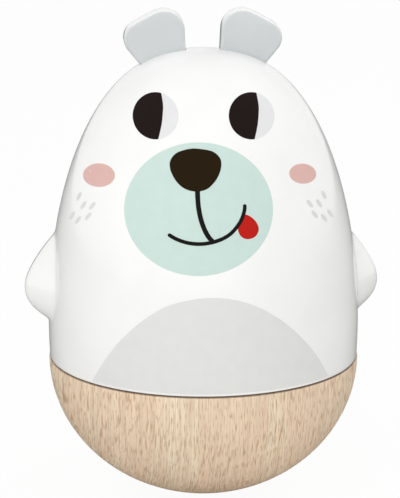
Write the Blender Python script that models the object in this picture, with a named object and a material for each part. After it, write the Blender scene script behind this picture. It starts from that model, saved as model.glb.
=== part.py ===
"""Musical roly-poly bear: a turned, weighted wooden base under a white two-part body with a chime inside.

Metres, +Z up. The toy stands on the flat foot at the origin. Its face looks along -Y, so its own left is +X.
The chime hammer hangs from a swivel in the bridge: the swivel turns about Z and the hammer swings on its pin.
"""

import math

import bmesh
import bpy
from mathutils import Matrix

# White body
BODY_RADIUS = 0.0485
DOME_HEIGHT = 0.0865
WIDEST_RISE = 0.0093
SIDE_POWER = 2.49
CROWN_POWER = 2.0
SEAM_TUCK = 0.00026
SHELL_WALL = 0.0024
BOSS_RADIUS = 0.0032
BOSS_LENGTH = 0.0070
PEG_RADIUS = 0.0016
PEG_LENGTH = 0.0050
LOW_PEG_RISE = 0.0320
HIGH_PEG_DROP = 0.0245

# Arms
ARM_REACH = 0.0086
ARM_TIP_RISE = 0.0119
ARM_ABOVE = 0.0185
ARM_BELOW = 0.0121
ARM_UPPER_POWER = 1.45
ARM_LOWER_POWER = 2.6
ARM_FRONT_DEPTH = 0.0196
ARM_REAR_DEPTH = 0.0105
ARM_SETBACK = 0.0060
ARM_LEAN = 0.26

# Ears
EAR_THICKNESS = 0.0065
EAR_EDGE = 0.0012
EAR_TIP_X = 0.0061
EAR_TIP_RISE = 0.0155
EAR_TIP_ROUND = 0.0063
EAR_CORNER_X = 0.0272
EAR_CORNER_RISE = 0.0049
EAR_CORNER_ROUND = 0.0055
EAR_INNER_SLOPE = 0.051
EAR_OUTER_SLOPE = 0.826
EAR_FOOT_DROP = 0.0098
EAR_FOOT_HEIGHT = 0.0035
EAR_FOOT_MARGIN = 0.0032

# Wooden base
BASE_HEIGHT = 0.0440
RIM_PROUD = 0.0003
RIM_ROUND = 0.0008
FOOT_RADIUS = 0.0050
CAVITY_DEPTH = 0.0184
STEP_WIDTH = 0.0100
POCKET_FLOOR = 0.0110
WEIGHT_BEVEL = 0.0008

# Coupling ring
RING_FLANGE = 0.0025
RING_SPIGOT = 0.0100
RING_WALL = 0.0022
RING_SETBACK = 0.0010
BEAD_RISE = 0.0060
BEAD_DEPTH = 0.0007
BEAD_WIDTH = 0.0018

# Screws
SCREW_HEAD_RADIUS = 0.0026
SCREW_HEAD_HEIGHT = 0.0018
SCREW_SHANK_RADIUS = 0.00125
SCREW_MARGIN = 0.0005
RING_SCREW_LENGTH = 0.0140
PLATE_SCREW_LENGTH = 0.0140
BRIDGE_SCREW_LENGTH = 0.0050

# Chime plate and rods
PLATE_THICKNESS = 0.0040
RIDGE_HEIGHT = 0.0040
RIDGE_HALF_WIDTH = 0.0035
ROD_COUNT = 8
ROD_RADIUS = 0.0015
ROD_SEAT = 0.0060
ROD_HEADROOM = 0.0085
ROD_STEP = 0.0030

# Bridge
BRIDGE_HEADROOM = 0.0265
BRIDGE_WIDTH = 0.0100
BRIDGE_THICKNESS = 0.0020
BRIDGE_BEND = 0.0010
BRIDGE_GAP = 0.0015
BRIDGE_FOOT_INSET = 0.0012

# Swivel
STUD_RADIUS = 0.0020
STUD_TAIL = 0.0014
BUSH_RADIUS = 0.0040
BUSH_FLANGE_RADIUS = 0.0060
BUSH_FLANGE = 0.0014
BUSH_RISE = 0.0008
CLIP_RADIUS = 0.0042
CLIP_THICKNESS = 0.0008
GROOVE_DEPTH = 0.0006
CLIP_MOUTH = math.radians(80.0)
FORK_SIDE = 0.0080
FORK_SLOT = 0.0034
FORK_BELOW_PIN = 0.0034
PIN_RADIUS = 0.0010
PIN_HEAD_RADIUS = 0.0018
PIN_HEAD = 0.0008

# Hammer
HAMMER_REACH = 0.0335
EYE_RADIUS = 0.0030
SHANK_RADIUS = 0.0010
COLLAR_RADIUS = 0.0022
COLLAR_HEIGHT = 0.0008
HEAD_RADIUS = 0.0085
HEAD_FLAT_RADIUS = 0.0027
NUT_RADIUS = 0.0027
NUT_HEIGHT = 0.0024
SHANK_TAIL = 0.0008

# Clearances
FIT = 0.0003
EYE_FIT = 0.00035
WELD = 0.000002

# Levels that follow from the sizes above
SEAM_Z = BASE_HEIGHT
WIDEST_Z = SEAM_Z + WIDEST_RISE
CROWN_Z = WIDEST_Z + DOME_HEIGHT
SHELL_BOTTOM_Z = SEAM_Z + FIT
ARM_TIP_Z = WIDEST_Z + ARM_TIP_RISE
STEP_Z = SEAM_Z - CAVITY_DEPTH
PLATE_Z = STEP_Z + FIT
PLATE_TOP_Z = PLATE_Z + PLATE_THICKNESS
RIDGE_TOP_Z = PLATE_TOP_Z + RIDGE_HEIGHT
RING_Z = SEAM_Z + FIT
FLANGE_TOP_Z = RING_Z + RING_FLANGE
BEAD_Z = RING_Z + BEAD_RISE
BAR_TOP_Z = CROWN_Z - BRIDGE_HEADROOM
BAR_Z = BAR_TOP_Z - BRIDGE_THICKNESS
BUSH_Z = BAR_Z - FIT - BUSH_FLANGE
BUSH_TOP_Z = BAR_TOP_Z + BUSH_RISE
FORK_TOP_Z = BUSH_Z - FIT
PIN_Z = FORK_TOP_Z - FIT - 2.0 * EYE_RADIUS
CLIP_Z = BUSH_TOP_Z + FIT
LONGEST_ROD_Z = BAR_Z - ROD_HEADROOM

# Radii that follow from the sizes above
SEAM_RADIUS = BODY_RADIUS - SEAM_TUCK
RIM_RADIUS = SEAM_RADIUS + RIM_PROUD
SPIGOT_RADIUS = SEAM_RADIUS - SHELL_WALL - FIT
SPIGOT_BORE = SPIGOT_RADIUS - RING_WALL
FLANGE_BORE = SPIGOT_BORE - 2.0 * (SCREW_HEAD_RADIUS + SCREW_MARGIN)
RING_SCREW_CIRCLE = (SPIGOT_BORE + FLANGE_BORE) / 2.0
CAVITY_RADIUS = FLANGE_BORE - RING_SETBACK
POCKET_RADIUS = CAVITY_RADIUS - STEP_WIDTH
PLATE_SCREW_CIRCLE = (CAVITY_RADIUS + POCKET_RADIUS) / 2.0
PLATE_RADIUS = CAVITY_RADIUS - FIT
BRIDGE_END_Y = PLATE_RADIUS - BRIDGE_FOOT_INSET
BRIDGE_SCREW_Y = BRIDGE_END_Y - SCREW_HEAD_RADIUS
LEG_OUTER_Y = BRIDGE_SCREW_Y - SCREW_HEAD_RADIUS - SCREW_MARGIN - BRIDGE_BEND
LEG_Y = LEG_OUTER_Y - BRIDGE_THICKNESS
ROD_CIRCLE = LEG_Y - BRIDGE_GAP - RIDGE_HALF_WIDTH
EAR_FRONT_Y = FIT / 2.0

# Colour, roughness and metallic of each finish
FINISHES = {
    "white": ((0.90, 0.90, 0.89), 0.42, 0.0),
    "grey": ((0.64, 0.67, 0.68), 0.45, 0.0),
    "beech": ((0.75, 0.56, 0.38), 0.50, 0.0),
    "ivory": ((0.80, 0.79, 0.74), 0.45, 0.0),
    "iron": ((0.07, 0.07, 0.075), 0.60, 0.9),
    "steel": ((0.56, 0.57, 0.58), 0.28, 1.0),
    "zinc": ((0.47, 0.48, 0.50), 0.45, 1.0),
    "brass": ((0.78, 0.57, 0.28), 0.30, 1.0),
}


def clear_scene():
    """Empties the file, so the part is all there is."""
    for obj in list(bpy.data.objects):
        bpy.data.objects.remove(obj, do_unlink=True)


def finish_of(name, finish):
    """A material of its own for one piece."""
    colour, roughness, metallic = FINISHES[finish]
    material = bpy.data.materials.new(name)
    material.use_nodes = True
    shader = material.node_tree.nodes["Principled BSDF"]
    shader.inputs["Base Color"].default_value = (*colour, 1.0)
    shader.inputs["Roughness"].default_value = roughness
    shader.inputs["Metallic"].default_value = metallic
    return material


def axis_empty(name, height, parent):
    """An empty on a joint's axis. The pieces under it are modelled around it."""
    empty = bpy.data.objects.new(name, None)
    empty.location.z = height - (parent.matrix_world.translation.z if parent else 0.0)
    empty.parent = parent
    bpy.context.scene.collection.objects.link(empty)
    bpy.context.view_layer.update()
    return empty


def piece(name, bm, finish, parent, crease=40.0):
    """One named sub-part from a bmesh, smooth where its faces meet at less than the crease."""
    mesh = bpy.data.meshes.new(name)
    bm.to_mesh(mesh)
    bm.free()
    mesh.shade_smooth()
    mesh.set_sharp_from_angle(angle=math.radians(crease))
    mesh.materials.append(finish_of(name, finish))
    obj = bpy.data.objects.new(name, mesh)
    obj.parent = parent
    bpy.context.scene.collection.objects.link(obj)
    return obj


def tool(name, bm, parent):
    """A hidden shape that a Boolean joins to a piece or cuts from it."""
    mesh = bpy.data.meshes.new(name)
    bm.to_mesh(mesh)
    bm.free()
    obj = bpy.data.objects.new(name, mesh)
    obj.parent = parent
    obj.hide_render = True
    obj.display_type = "WIRE"
    bpy.context.scene.collection.objects.link(obj)
    return obj


def combine(target, operation, other):
    """A Boolean of two pieces, left on the target as a modifier."""
    modifier = target.modifiers.new(other.name, "BOOLEAN")
    modifier.operation = operation
    modifier.solver = "EXACT"
    modifier.object = other


def turned(outline, steps, closed=False):
    """The outline, as (radius, height) pairs, turned once about the Z axis."""
    bm = bmesh.new()
    verts = [bm.verts.new((radius, 0.0, height)) for radius, height in outline]
    edges = [bm.edges.new(ends) for ends in zip(verts, verts[1:])]
    if closed:
        edges.append(bm.edges.new((verts[-1], verts[0])))
    bmesh.ops.spin(bm, geom=verts + edges, axis=(0, 0, 1), cent=(0, 0, 0), angle=math.tau, steps=steps)
    bmesh.ops.remove_doubles(bm, verts=bm.verts, dist=WELD)
    bmesh.ops.recalc_face_normals(bm, faces=bm.faces)
    return bm


def cylinder(radius, low, high, steps=16):
    """A plain cylinder about Z."""
    return turned([(0.0, high), (radius, high), (radius, low), (0.0, low)], steps)


def tube(bore, radius, low, high, steps=24):
    """A ring about Z with a square section."""
    return turned([(bore, high), (radius, high), (radius, low), (bore, low)], steps, closed=True)


def box(low, high):
    """A block between two opposite corners."""
    bm = bmesh.new()
    bmesh.ops.create_cube(bm, size=1.0)
    sizes = [b - a for a, b in zip(low, high)]
    middle = [(a + b) / 2.0 for a, b in zip(low, high)]
    return placed(bm, Matrix.Translation(middle) @ Matrix.Diagonal((*sizes, 1.0)))


def placed(bm, matrix):
    """The bmesh moved by a matrix."""
    bmesh.ops.transform(bm, matrix=matrix, verts=bm.verts)
    return bm


def together(shapes):
    """Several bmeshes as one, for a tool that works in several places at once."""
    whole = bmesh.new()
    for bm in shapes:
        mesh = bpy.data.meshes.new("shape")
        bm.to_mesh(mesh)
        bm.free()
        whole.from_mesh(mesh)
        bpy.data.meshes.remove(mesh)
    return whole


def prism(outline, start, end):
    """A flat outline of (x, z) points drawn out along Y."""
    bm = bmesh.new()
    face = bm.faces.new([bm.verts.new((x, start, z)) for x, z in outline])
    drawn = bmesh.ops.extrude_face_region(bm, geom=[face])["geom"]
    moved = [item for item in drawn if isinstance(item, bmesh.types.BMVert)]
    bmesh.ops.translate(bm, verts=moved, vec=(0.0, end - start, 0.0))
    bmesh.ops.recalc_face_normals(bm, faces=bm.faces)
    return bm


def rounded(corners, steps=6):
    """An outline of (x, z) points from corners of (x, z, rounding)."""
    points = []
    for index, (x, z, rounding) in enumerate(corners):
        before = corners[index - 1]
        after = corners[(index + 1) % len(corners)]
        if rounding == 0.0:
            points.append((x, z))
            continue
        from_angle = math.atan2(before[1] - z, before[0] - x)
        to_angle = math.atan2(after[1] - z, after[0] - x)
        turn = math.remainder(to_angle - from_angle, math.tau)
        half = abs(turn) / 2.0
        middle = from_angle + turn / 2.0
        centre_x = x + rounding / math.sin(half) * math.cos(middle)
        centre_z = z + rounding / math.sin(half) * math.sin(middle)
        sweep = math.pi - 2.0 * half
        for step in range(steps + 1):
            angle = middle + math.pi + math.copysign(sweep, turn) * (0.5 - step / steps)
            points.append((centre_x + rounding * math.cos(angle), centre_z + rounding * math.sin(angle)))
    return points


def around(radius, count, start):
    """Places on a circle about Z."""
    for index in range(count):
        angle = start + math.tau * index / count
        yield Matrix.Translation((radius * math.cos(angle), radius * math.sin(angle), 0.0))


def screw(name, length, seat, place, parent):
    """A domed round-head wood screw whose head sits on the given level."""
    head = SCREW_HEAD_RADIUS
    top = seat + FIT + SCREW_HEAD_HEIGHT
    outline = [
        (0.0, top),
        (0.62 * head, top - 0.12 * SCREW_HEAD_HEIGHT),
        (0.93 * head, top - 0.50 * SCREW_HEAD_HEIGHT),
        (head, seat + FIT),
        (SCREW_SHANK_RADIUS, seat + FIT),
        (SCREW_SHANK_RADIUS, seat + FIT - length + 1.6 * SCREW_SHANK_RADIUS),
        (0.0, seat + FIT - length),
    ]
    obj = piece(name, turned(outline, 12), "steel", parent)
    obj.matrix_local = place
    return obj


def body_radius(z, inset=0.0):
    """Radius of the white body at a height, drawn in by the inset."""
    if z <= WIDEST_Z:
        drop = (WIDEST_Z - z) / WIDEST_RISE
        return BODY_RADIUS - SEAM_TUCK * drop * drop - inset
    rise = (z - WIDEST_Z) / (DOME_HEIGHT - inset)
    return (BODY_RADIUS - inset) * max(0.0, 1.0 - rise**CROWN_POWER) ** (1.0 / SIDE_POWER)


def arm_swell(z, y, inset=0.0):
    """How far an arm lifts the side of the body out: a flat slope in front of its ridge, round behind it."""
    if z >= ARM_TIP_Z:
        share = (z - ARM_TIP_Z) / (ARM_ABOVE - inset)
        power = ARM_UPPER_POWER
    else:
        share = (ARM_TIP_Z - z) / (ARM_BELOW - inset)
        power = ARM_LOWER_POWER
    if share >= 1.0:
        return 0.0
    height = ARM_REACH * (1.0 - share**power)
    behind = y - ARM_SETBACK - ARM_LEAN * (ARM_TIP_Z - z)
    if behind > 0.0:
        across = behind / ((ARM_REAR_DEPTH - inset) * math.sqrt(1.0 - share * share))
        return height * math.sqrt(max(0.0, 1.0 - across * across))
    across = -behind / ((ARM_FRONT_DEPTH - inset) * math.sqrt(1.0 - share))
    return height * max(0.0, 1.0 - across)


def dome_levels(count, inset=0.0):
    """Heights up the dome, closest together low down where the arms are."""
    for index in range(1, count):
        angle = math.pi / 2.0 * (index / count) ** 1.3
        yield WIDEST_Z + (DOME_HEIGHT - inset) * math.sin(angle) ** (2.0 / CROWN_POWER)


def half_shell(side, columns=26):
    """One half of the white body: side is +1 at the back and -1 at the front."""
    bm = bmesh.new()
    bead = BEAD_WIDTH / 2.0
    outer_levels = [(SHELL_BOTTOM_Z, 0.0), (SEAM_Z + WIDEST_RISE / 2.0, 0.0), (WIDEST_Z, 0.0)]
    outer_levels += [(z, 0.0) for z in dome_levels(20)]
    inner_levels = [
        (SHELL_BOTTOM_Z, 0.0),
        (BEAD_Z - bead - FIT, 0.0),
        (BEAD_Z - bead / 2.0 - FIT, BEAD_DEPTH),
        (BEAD_Z + bead / 2.0 + FIT, BEAD_DEPTH),
        (BEAD_Z + bead + FIT, 0.0),
        (WIDEST_Z, 0.0),
    ]
    inner_levels += [(z, 0.0) for z in dome_levels(14, SHELL_WALL)]

    def skin(levels, inset):
        rows = []
        for z, groove in levels:
            radius = body_radius(z, inset) + groove
            row = []
            for column in range(columns + 1):
                share = column / columns
                angle = math.pi * share - 0.275 * math.sin(math.tau * share)
                y = side * radius * math.sin(angle)
                reach = radius + arm_swell(z, y, inset)
                row.append(bm.verts.new((reach * math.cos(angle), side * reach * math.sin(angle), z)))
            rows.append(row)
        for low, high in zip(rows, rows[1:]):
            for column in range(columns):
                bm.faces.new((low[column], low[column + 1], high[column + 1], high[column]))
        pole = bm.verts.new((0.0, 0.0, CROWN_Z - inset))
        for first, second in zip(rows[-1], rows[-1][1:]):
            bm.faces.new((first, second, pole))
        return rows, pole

    outer, outer_pole = skin(outer_levels, 0.0)
    inner, inner_pole = skin(inner_levels, SHELL_WALL)
    for column in range(columns):
        bm.faces.new((outer[0][column], outer[0][column + 1], inner[0][column + 1], inner[0][column]))
    parting = [row[0] for row in outer] + [outer_pole] + [row[-1] for row in reversed(outer)]
    parting += [row[-1] for row in inner] + [inner_pole] + [row[0] for row in reversed(inner)]
    bm.faces.new(parting)
    bmesh.ops.recalc_face_normals(bm, faces=bm.faces)
    return placed(bm, Matrix.Translation((0.0, side * FIT / 2.0, 0.0)))


def along_y(bm, x, z):
    """A shape modelled about Z laid along +Y through a point of the parting plane."""
    return placed(bm, Matrix.Translation((x, 0.0, z)) @ Matrix.Rotation(-math.pi / 2.0, 4, "X"))


def peg_places():
    """Where the pegs and sockets of the two halves stand against the side walls."""
    for z in (WIDEST_Z + LOW_PEG_RISE, CROWN_Z - HIGH_PEG_DROP):
        for hand in (-1.0, 1.0):
            yield hand * (body_radius(z, SHELL_WALL) - 0.75 * BOSS_RADIUS), z


def ear_corners(margin=0.0):
    """The ear's plate down to its foot, as corners for rounded(), grown by a margin."""

    def inner_x(z):
        return EAR_TIP_X - EAR_INNER_SLOPE * (CROWN_Z + EAR_TIP_RISE - z) - margin

    def outer_x(z):
        return EAR_CORNER_X - EAR_OUTER_SLOPE * (CROWN_Z + EAR_CORNER_RISE - z) + margin

    neck_z = CROWN_Z - EAR_FOOT_DROP
    tip_z = CROWN_Z + EAR_TIP_RISE
    corner_z = CROWN_Z + EAR_CORNER_RISE
    tip = (inner_x(tip_z), tip_z, EAR_TIP_ROUND)
    corner = (outer_x(corner_z), corner_z, EAR_CORNER_ROUND)
    return (inner_x(neck_z), neck_z), tip, corner, (outer_x(neck_z), neck_z)


def ear(name, hand, parent):
    """A flat ear whose wide foot is trapped under the shell."""
    inner_neck, tip, corner, outer_neck = ear_corners()
    foot_z = inner_neck[1] - EAR_FOOT_HEIGHT
    foot_in = inner_neck[0] - EAR_FOOT_MARGIN
    foot_out = outer_neck[0] + EAR_FOOT_MARGIN
    corners = [(*inner_neck, 0.0), tip, corner, (*outer_neck, 0.0)]
    corners += [(foot_out, outer_neck[1], 0.0), (foot_out, foot_z, 0.0)]
    corners += [(foot_in, foot_z, 0.0), (foot_in, inner_neck[1], 0.0)]
    outline = [(hand * x, z) for x, z in rounded(corners, 8)]
    obj = piece(name, prism(outline, EAR_FRONT_Y, EAR_FRONT_Y + EAR_THICKNESS), "grey", parent)
    bevel = obj.modifiers.new("edge", "BEVEL")
    bevel.width = EAR_EDGE
    bevel.segments = 2
    bevel.limit_method = "ANGLE"
    bevel.angle_limit = math.radians(50.0)


def ear_slot(hand):
    """The notch that an ear's neck passes the rear half through, open towards the parting plane."""
    inner_neck, tip, corner, outer_neck = ear_corners(FIT)
    outline = [inner_neck, tip[:2], corner[:2], outer_neck]
    outline = [(hand * x, z) for x, z in outline]
    return prism(outline, -EAR_THICKNESS, EAR_FRONT_Y + EAR_THICKNESS + FIT)


def build_shells(parent):
    front = piece("front_shell", half_shell(-1.0), "white", parent)
    rear = piece("rear_shell", half_shell(1.0), "white", parent)
    bosses = [along_y(cylinder(BOSS_RADIUS, -BOSS_LENGTH, -FIT), x, z) for x, z in peg_places()]
    combine(front, "UNION", tool("front_bosses", together(bosses), parent))
    pegs = [along_y(cylinder(PEG_RADIUS, -PEG_LENGTH, PEG_LENGTH, 12), x, z) for x, z in peg_places()]
    combine(front, "UNION", tool("front_pegs", together(pegs), parent))
    bosses = [along_y(cylinder(BOSS_RADIUS, FIT, BOSS_LENGTH), x, z) for x, z in peg_places()]
    combine(rear, "UNION", tool("rear_bosses", together(bosses), parent))
    socket = PEG_LENGTH + FIT
    sockets = [along_y(cylinder(PEG_RADIUS + FIT, -FIT, socket, 12), x, z) for x, z in peg_places()]
    combine(rear, "DIFFERENCE", tool("rear_sockets", together(sockets), parent))
    combine(rear, "DIFFERENCE", tool("ear_slots", together([ear_slot(-1.0), ear_slot(1.0)]), parent))
    ear("left_ear", 1.0, parent)
    ear("right_ear", -1.0, parent)


def build_base(parent):
    depth = BASE_HEIGHT / math.sqrt(1.0 - (FOOT_RADIUS / RIM_RADIUS) ** 2)
    first = math.asin(FOOT_RADIUS / RIM_RADIUS)
    last = math.acos(RIM_ROUND / depth)
    outline = [(0.0, POCKET_FLOOR), (POCKET_RADIUS, POCKET_FLOOR), (POCKET_RADIUS, STEP_Z)]
    outline += [(CAVITY_RADIUS, STEP_Z), (CAVITY_RADIUS, SEAM_Z)]
    for step in range(3):
        angle = math.pi / 2.0 * (1.0 - step / 3)
        radius = RIM_RADIUS + RIM_ROUND * (math.cos(angle) - 1.0)
        outline.append((radius, SEAM_Z + RIM_ROUND * (math.sin(angle) - 1.0)))
    for step in range(12):
        angle = last + (first - last) * step / 11
        outline.append((RIM_RADIUS * math.sin(angle), SEAM_Z - depth * math.cos(angle)))
    outline.append((0.0, 0.0))
    base = piece("wooden_base", turned(outline, 48), "beech", parent)
    pilot = SCREW_SHANK_RADIUS + FIT
    ring_hole = (pilot, FLANGE_TOP_Z - RING_SCREW_LENGTH, FLANGE_TOP_Z, 12)
    plate_hole = (pilot, PLATE_TOP_Z - PLATE_SCREW_LENGTH, PLATE_TOP_Z, 12)
    holes = [placed(cylinder(*ring_hole), place) for place in ring_screw_places()]
    holes += [placed(cylinder(*plate_hole), place) for place in plate_screw_places()]
    combine(base, "DIFFERENCE", tool("base_pilot_holes", together(holes), parent))
    radius = POCKET_RADIUS - FIT
    low = POCKET_FLOOR + FIT
    outline = [(0.0, STEP_Z), (radius - WEIGHT_BEVEL, STEP_Z), (radius, STEP_Z - WEIGHT_BEVEL)]
    outline += [(radius, low + WEIGHT_BEVEL), (radius - WEIGHT_BEVEL, low), (0.0, low)]
    piece("counterweight", turned(outline, 40), "iron", parent)


def ring_screw_places():
    return around(RING_SCREW_CIRCLE, 4, math.pi / 4.0)


def plate_screw_places():
    return around(PLATE_SCREW_CIRCLE, 4, math.pi / 4.0)


def rod_places():
    return around(ROD_CIRCLE, ROD_COUNT, math.pi / ROD_COUNT)


def bridge_screw_places():
    return around(BRIDGE_SCREW_Y, 2, math.pi / 2.0)


def build_ring(parent):
    bead = BEAD_WIDTH / 2.0
    outline = [
        (SPIGOT_BORE, RING_Z + RING_SPIGOT),
        (SPIGOT_RADIUS - BEAD_DEPTH, RING_Z + RING_SPIGOT),
        (SPIGOT_RADIUS, RING_Z + RING_SPIGOT - 2.0 * BEAD_DEPTH),
        (SPIGOT_RADIUS, BEAD_Z + bead),
        (SPIGOT_RADIUS + BEAD_DEPTH, BEAD_Z + bead / 2.0),
        (SPIGOT_RADIUS + BEAD_DEPTH, BEAD_Z - bead / 2.0),
        (SPIGOT_RADIUS, BEAD_Z - bead),
        (SPIGOT_RADIUS, RING_Z),
        (FLANGE_BORE, RING_Z),
        (FLANGE_BORE, FLANGE_TOP_Z),
        (SPIGOT_BORE, FLANGE_TOP_Z),
    ]
    ring = piece("coupling_ring", turned(outline, 36, closed=True), "ivory", parent)
    hole = (SCREW_SHANK_RADIUS + FIT, RING_Z - RING_FLANGE, FLANGE_TOP_Z + RING_FLANGE, 12)
    holes = [placed(cylinder(*hole), place) for place in ring_screw_places()]
    combine(ring, "DIFFERENCE", tool("ring_screw_holes", together(holes), parent))
    for number, place in enumerate(ring_screw_places(), 1):
        screw(f"ring_screw_{number}", RING_SCREW_LENGTH, FLANGE_TOP_Z, place, parent)


def build_chime(parent):
    low = ROD_CIRCLE - RIDGE_HALF_WIDTH
    high = ROD_CIRCLE + RIDGE_HALF_WIDTH
    outline = [
        (0.0, PLATE_TOP_Z),
        (low, PLATE_TOP_Z),
        (low + RIDGE_HEIGHT / 8.0, RIDGE_TOP_Z),
        (high - RIDGE_HEIGHT / 8.0, RIDGE_TOP_Z),
        (high, PLATE_TOP_Z),
        (PLATE_RADIUS, PLATE_TOP_Z),
        (PLATE_RADIUS, PLATE_Z),
        (0.0, PLATE_Z),
    ]
    plate = piece("chime_plate", turned(outline, 36), "zinc", parent)
    rod_foot = RIDGE_TOP_Z - ROD_SEAT
    through = (SCREW_SHANK_RADIUS + FIT, PLATE_Z - PLATE_THICKNESS, PLATE_TOP_Z + PLATE_THICKNESS, 12)
    seat = (ROD_RADIUS + FIT, rod_foot, RIDGE_TOP_Z + ROD_SEAT, 12)
    holes = [placed(cylinder(*seat), place) for place in rod_places()]
    holes += [placed(cylinder(*through), place) for place in plate_screw_places()]
    holes += [placed(cylinder(*through), place) for place in bridge_screw_places()]
    combine(plate, "DIFFERENCE", tool("plate_holes", together(holes), parent))
    for number, place in enumerate(plate_screw_places(), 1):
        screw(f"plate_screw_{number}", PLATE_SCREW_LENGTH, PLATE_TOP_Z, place, parent)
    for number, place in enumerate(rod_places(), 1):
        top = LONGEST_ROD_Z - ROD_STEP * (number - 1)
        foot = rod_foot + FIT
        chamfer = ROD_RADIUS / 5.0
        outline = [(0.0, top), (ROD_RADIUS - chamfer, top), (ROD_RADIUS, top - chamfer)]
        outline += [(ROD_RADIUS, foot), (0.0, foot)]
        rod = piece(f"chime_rod_{number}", turned(outline, 12), "steel", parent)
        rod.matrix_local = place
    build_bridge(parent)


def bridge_outline():
    """The bent strip's section in the YZ plane, from one foot over the bar to the other."""
    leg = LEG_OUTER_Y
    low = PLATE_TOP_Z + FIT
    foot_top = low + BRIDGE_THICKNESS
    inside = BRIDGE_BEND
    outside = BRIDGE_BEND + BRIDGE_THICKNESS
    corners = [(-BRIDGE_END_Y, low, 0.0), (-LEG_Y, low, outside), (-LEG_Y, BAR_Z, inside)]
    corners += [(LEG_Y, BAR_Z, inside), (LEG_Y, low, outside), (BRIDGE_END_Y, low, 0.0)]
    corners += [(BRIDGE_END_Y, foot_top, 0.0), (leg, foot_top, inside), (leg, BAR_TOP_Z, outside)]
    corners += [(-leg, BAR_TOP_Z, outside), (-leg, foot_top, inside), (-BRIDGE_END_Y, foot_top, 0.0)]
    return rounded(corners, 4)


def build_bridge(parent):
    half = BRIDGE_WIDTH / 2.0
    strip = placed(prism(bridge_outline(), -half, half), Matrix.Rotation(math.pi / 2.0, 4, "Z"))
    bridge = piece("chime_bridge", strip, "zinc", parent)
    foot = PLATE_TOP_Z + FIT
    hole = (SCREW_SHANK_RADIUS + FIT, foot - BRIDGE_THICKNESS, foot + 2.0 * BRIDGE_THICKNESS, 12)
    holes = [placed(cylinder(*hole), place) for place in bridge_screw_places()]
    holes.append(cylinder(BUSH_RADIUS + FIT, BAR_Z - BRIDGE_THICKNESS, BAR_TOP_Z + BRIDGE_THICKNESS, 24))
    combine(bridge, "DIFFERENCE", tool("bridge_holes", together(holes), parent))
    for number, place in enumerate(bridge_screw_places(), 1):
        screw(f"bridge_screw_{number}", BRIDGE_SCREW_LENGTH, foot + BRIDGE_THICKNESS, place, parent)
    outline = [
        (STUD_RADIUS + FIT, BUSH_TOP_Z),
        (BUSH_RADIUS, BUSH_TOP_Z),
        (BUSH_RADIUS, BAR_Z - FIT),
        (BUSH_FLANGE_RADIUS, BAR_Z - FIT),
        (BUSH_FLANGE_RADIUS, BUSH_Z),
        (STUD_RADIUS + FIT, BUSH_Z),
    ]
    piece("swivel_bush", turned(outline, 24, closed=True), "brass", parent)


def clip_ring():
    """A spring clip: a flat ring with a mouth."""
    bore = STUD_RADIUS - GROOVE_DEPTH + FIT
    low = CLIP_Z - PIN_Z
    high = low + CLIP_THICKNESS
    section = [(bore, low), (CLIP_RADIUS, low), (CLIP_RADIUS, high), (bore, high)]
    bm = bmesh.new()
    face = bm.faces.new([bm.verts.new((radius, 0.0, height)) for radius, height in section])
    turn = math.tau - CLIP_MOUTH
    bmesh.ops.spin(bm, geom=[face], axis=(0, 0, 1), cent=(0, 0, 0), angle=turn, steps=20)
    bmesh.ops.remove_doubles(bm, verts=bm.verts, dist=WELD)
    inside = [f for f in bm.faces if all(len(edge.link_faces) > 2 for edge in f.edges)]
    bmesh.ops.delete(bm, geom=inside, context="FACES")
    bmesh.ops.recalc_face_normals(bm, faces=bm.faces)
    return placed(bm, Matrix.Rotation(CLIP_MOUTH / 2.0, 4, "Z"))


def build_swivel(parent):
    """The stud, its clip and the pin, around the pin's centre."""
    top = CLIP_Z + CLIP_THICKNESS + FIT + STUD_TAIL - PIN_Z
    groove_low = CLIP_Z - FIT / 2.0 - PIN_Z
    groove_high = CLIP_Z + CLIP_THICKNESS + FIT - PIN_Z
    core = STUD_RADIUS - GROOVE_DEPTH
    fork_top = FORK_TOP_Z - PIN_Z
    outline = [
        (0.0, top),
        (STUD_RADIUS - GROOVE_DEPTH / 2.0, top),
        (STUD_RADIUS, top - GROOVE_DEPTH / 2.0),
        (STUD_RADIUS, groove_high),
        (core, groove_high),
        (core, groove_low),
        (STUD_RADIUS, groove_low),
        (STUD_RADIUS, fork_top - EYE_RADIUS / 2.0),
        (0.0, fork_top - EYE_RADIUS / 2.0),
    ]
    half = FORK_SIDE / 2.0
    stud = piece("swivel_stud", box((-half, -half, -FORK_BELOW_PIN), (half, half, fork_top)), "brass", parent)
    combine(stud, "UNION", tool("stud_shaft", turned(outline, 20), parent))
    slot = FORK_SLOT / 2.0
    mouth = box((-slot, -FORK_SIDE, -2.0 * FORK_BELOW_PIN), (slot, FORK_SIDE, EYE_RADIUS + EYE_FIT))
    combine(stud, "DIFFERENCE", tool("fork_slot", mouth, parent))
    across = Matrix.Rotation(math.pi / 2.0, 4, "Y")
    bore = placed(cylinder(PIN_RADIUS + FIT, -FORK_SIDE, FORK_SIDE), across)
    combine(stud, "DIFFERENCE", tool("fork_bore", bore, parent))
    piece("swivel_clip", clip_ring(), "steel", parent)
    end = half + FIT
    outline = [(0.0, end + PIN_HEAD), (0.7 * PIN_HEAD_RADIUS, end + PIN_HEAD), (PIN_HEAD_RADIUS, end)]
    outline += [(PIN_RADIUS, end), (PIN_RADIUS, -end)]
    outline += [(PIN_HEAD_RADIUS, -end), (0.7 * PIN_HEAD_RADIUS, -end - PIN_HEAD), (0.0, -end - PIN_HEAD)]
    piece("hammer_pin", placed(turned(outline, 16), across), "steel", parent)


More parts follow.
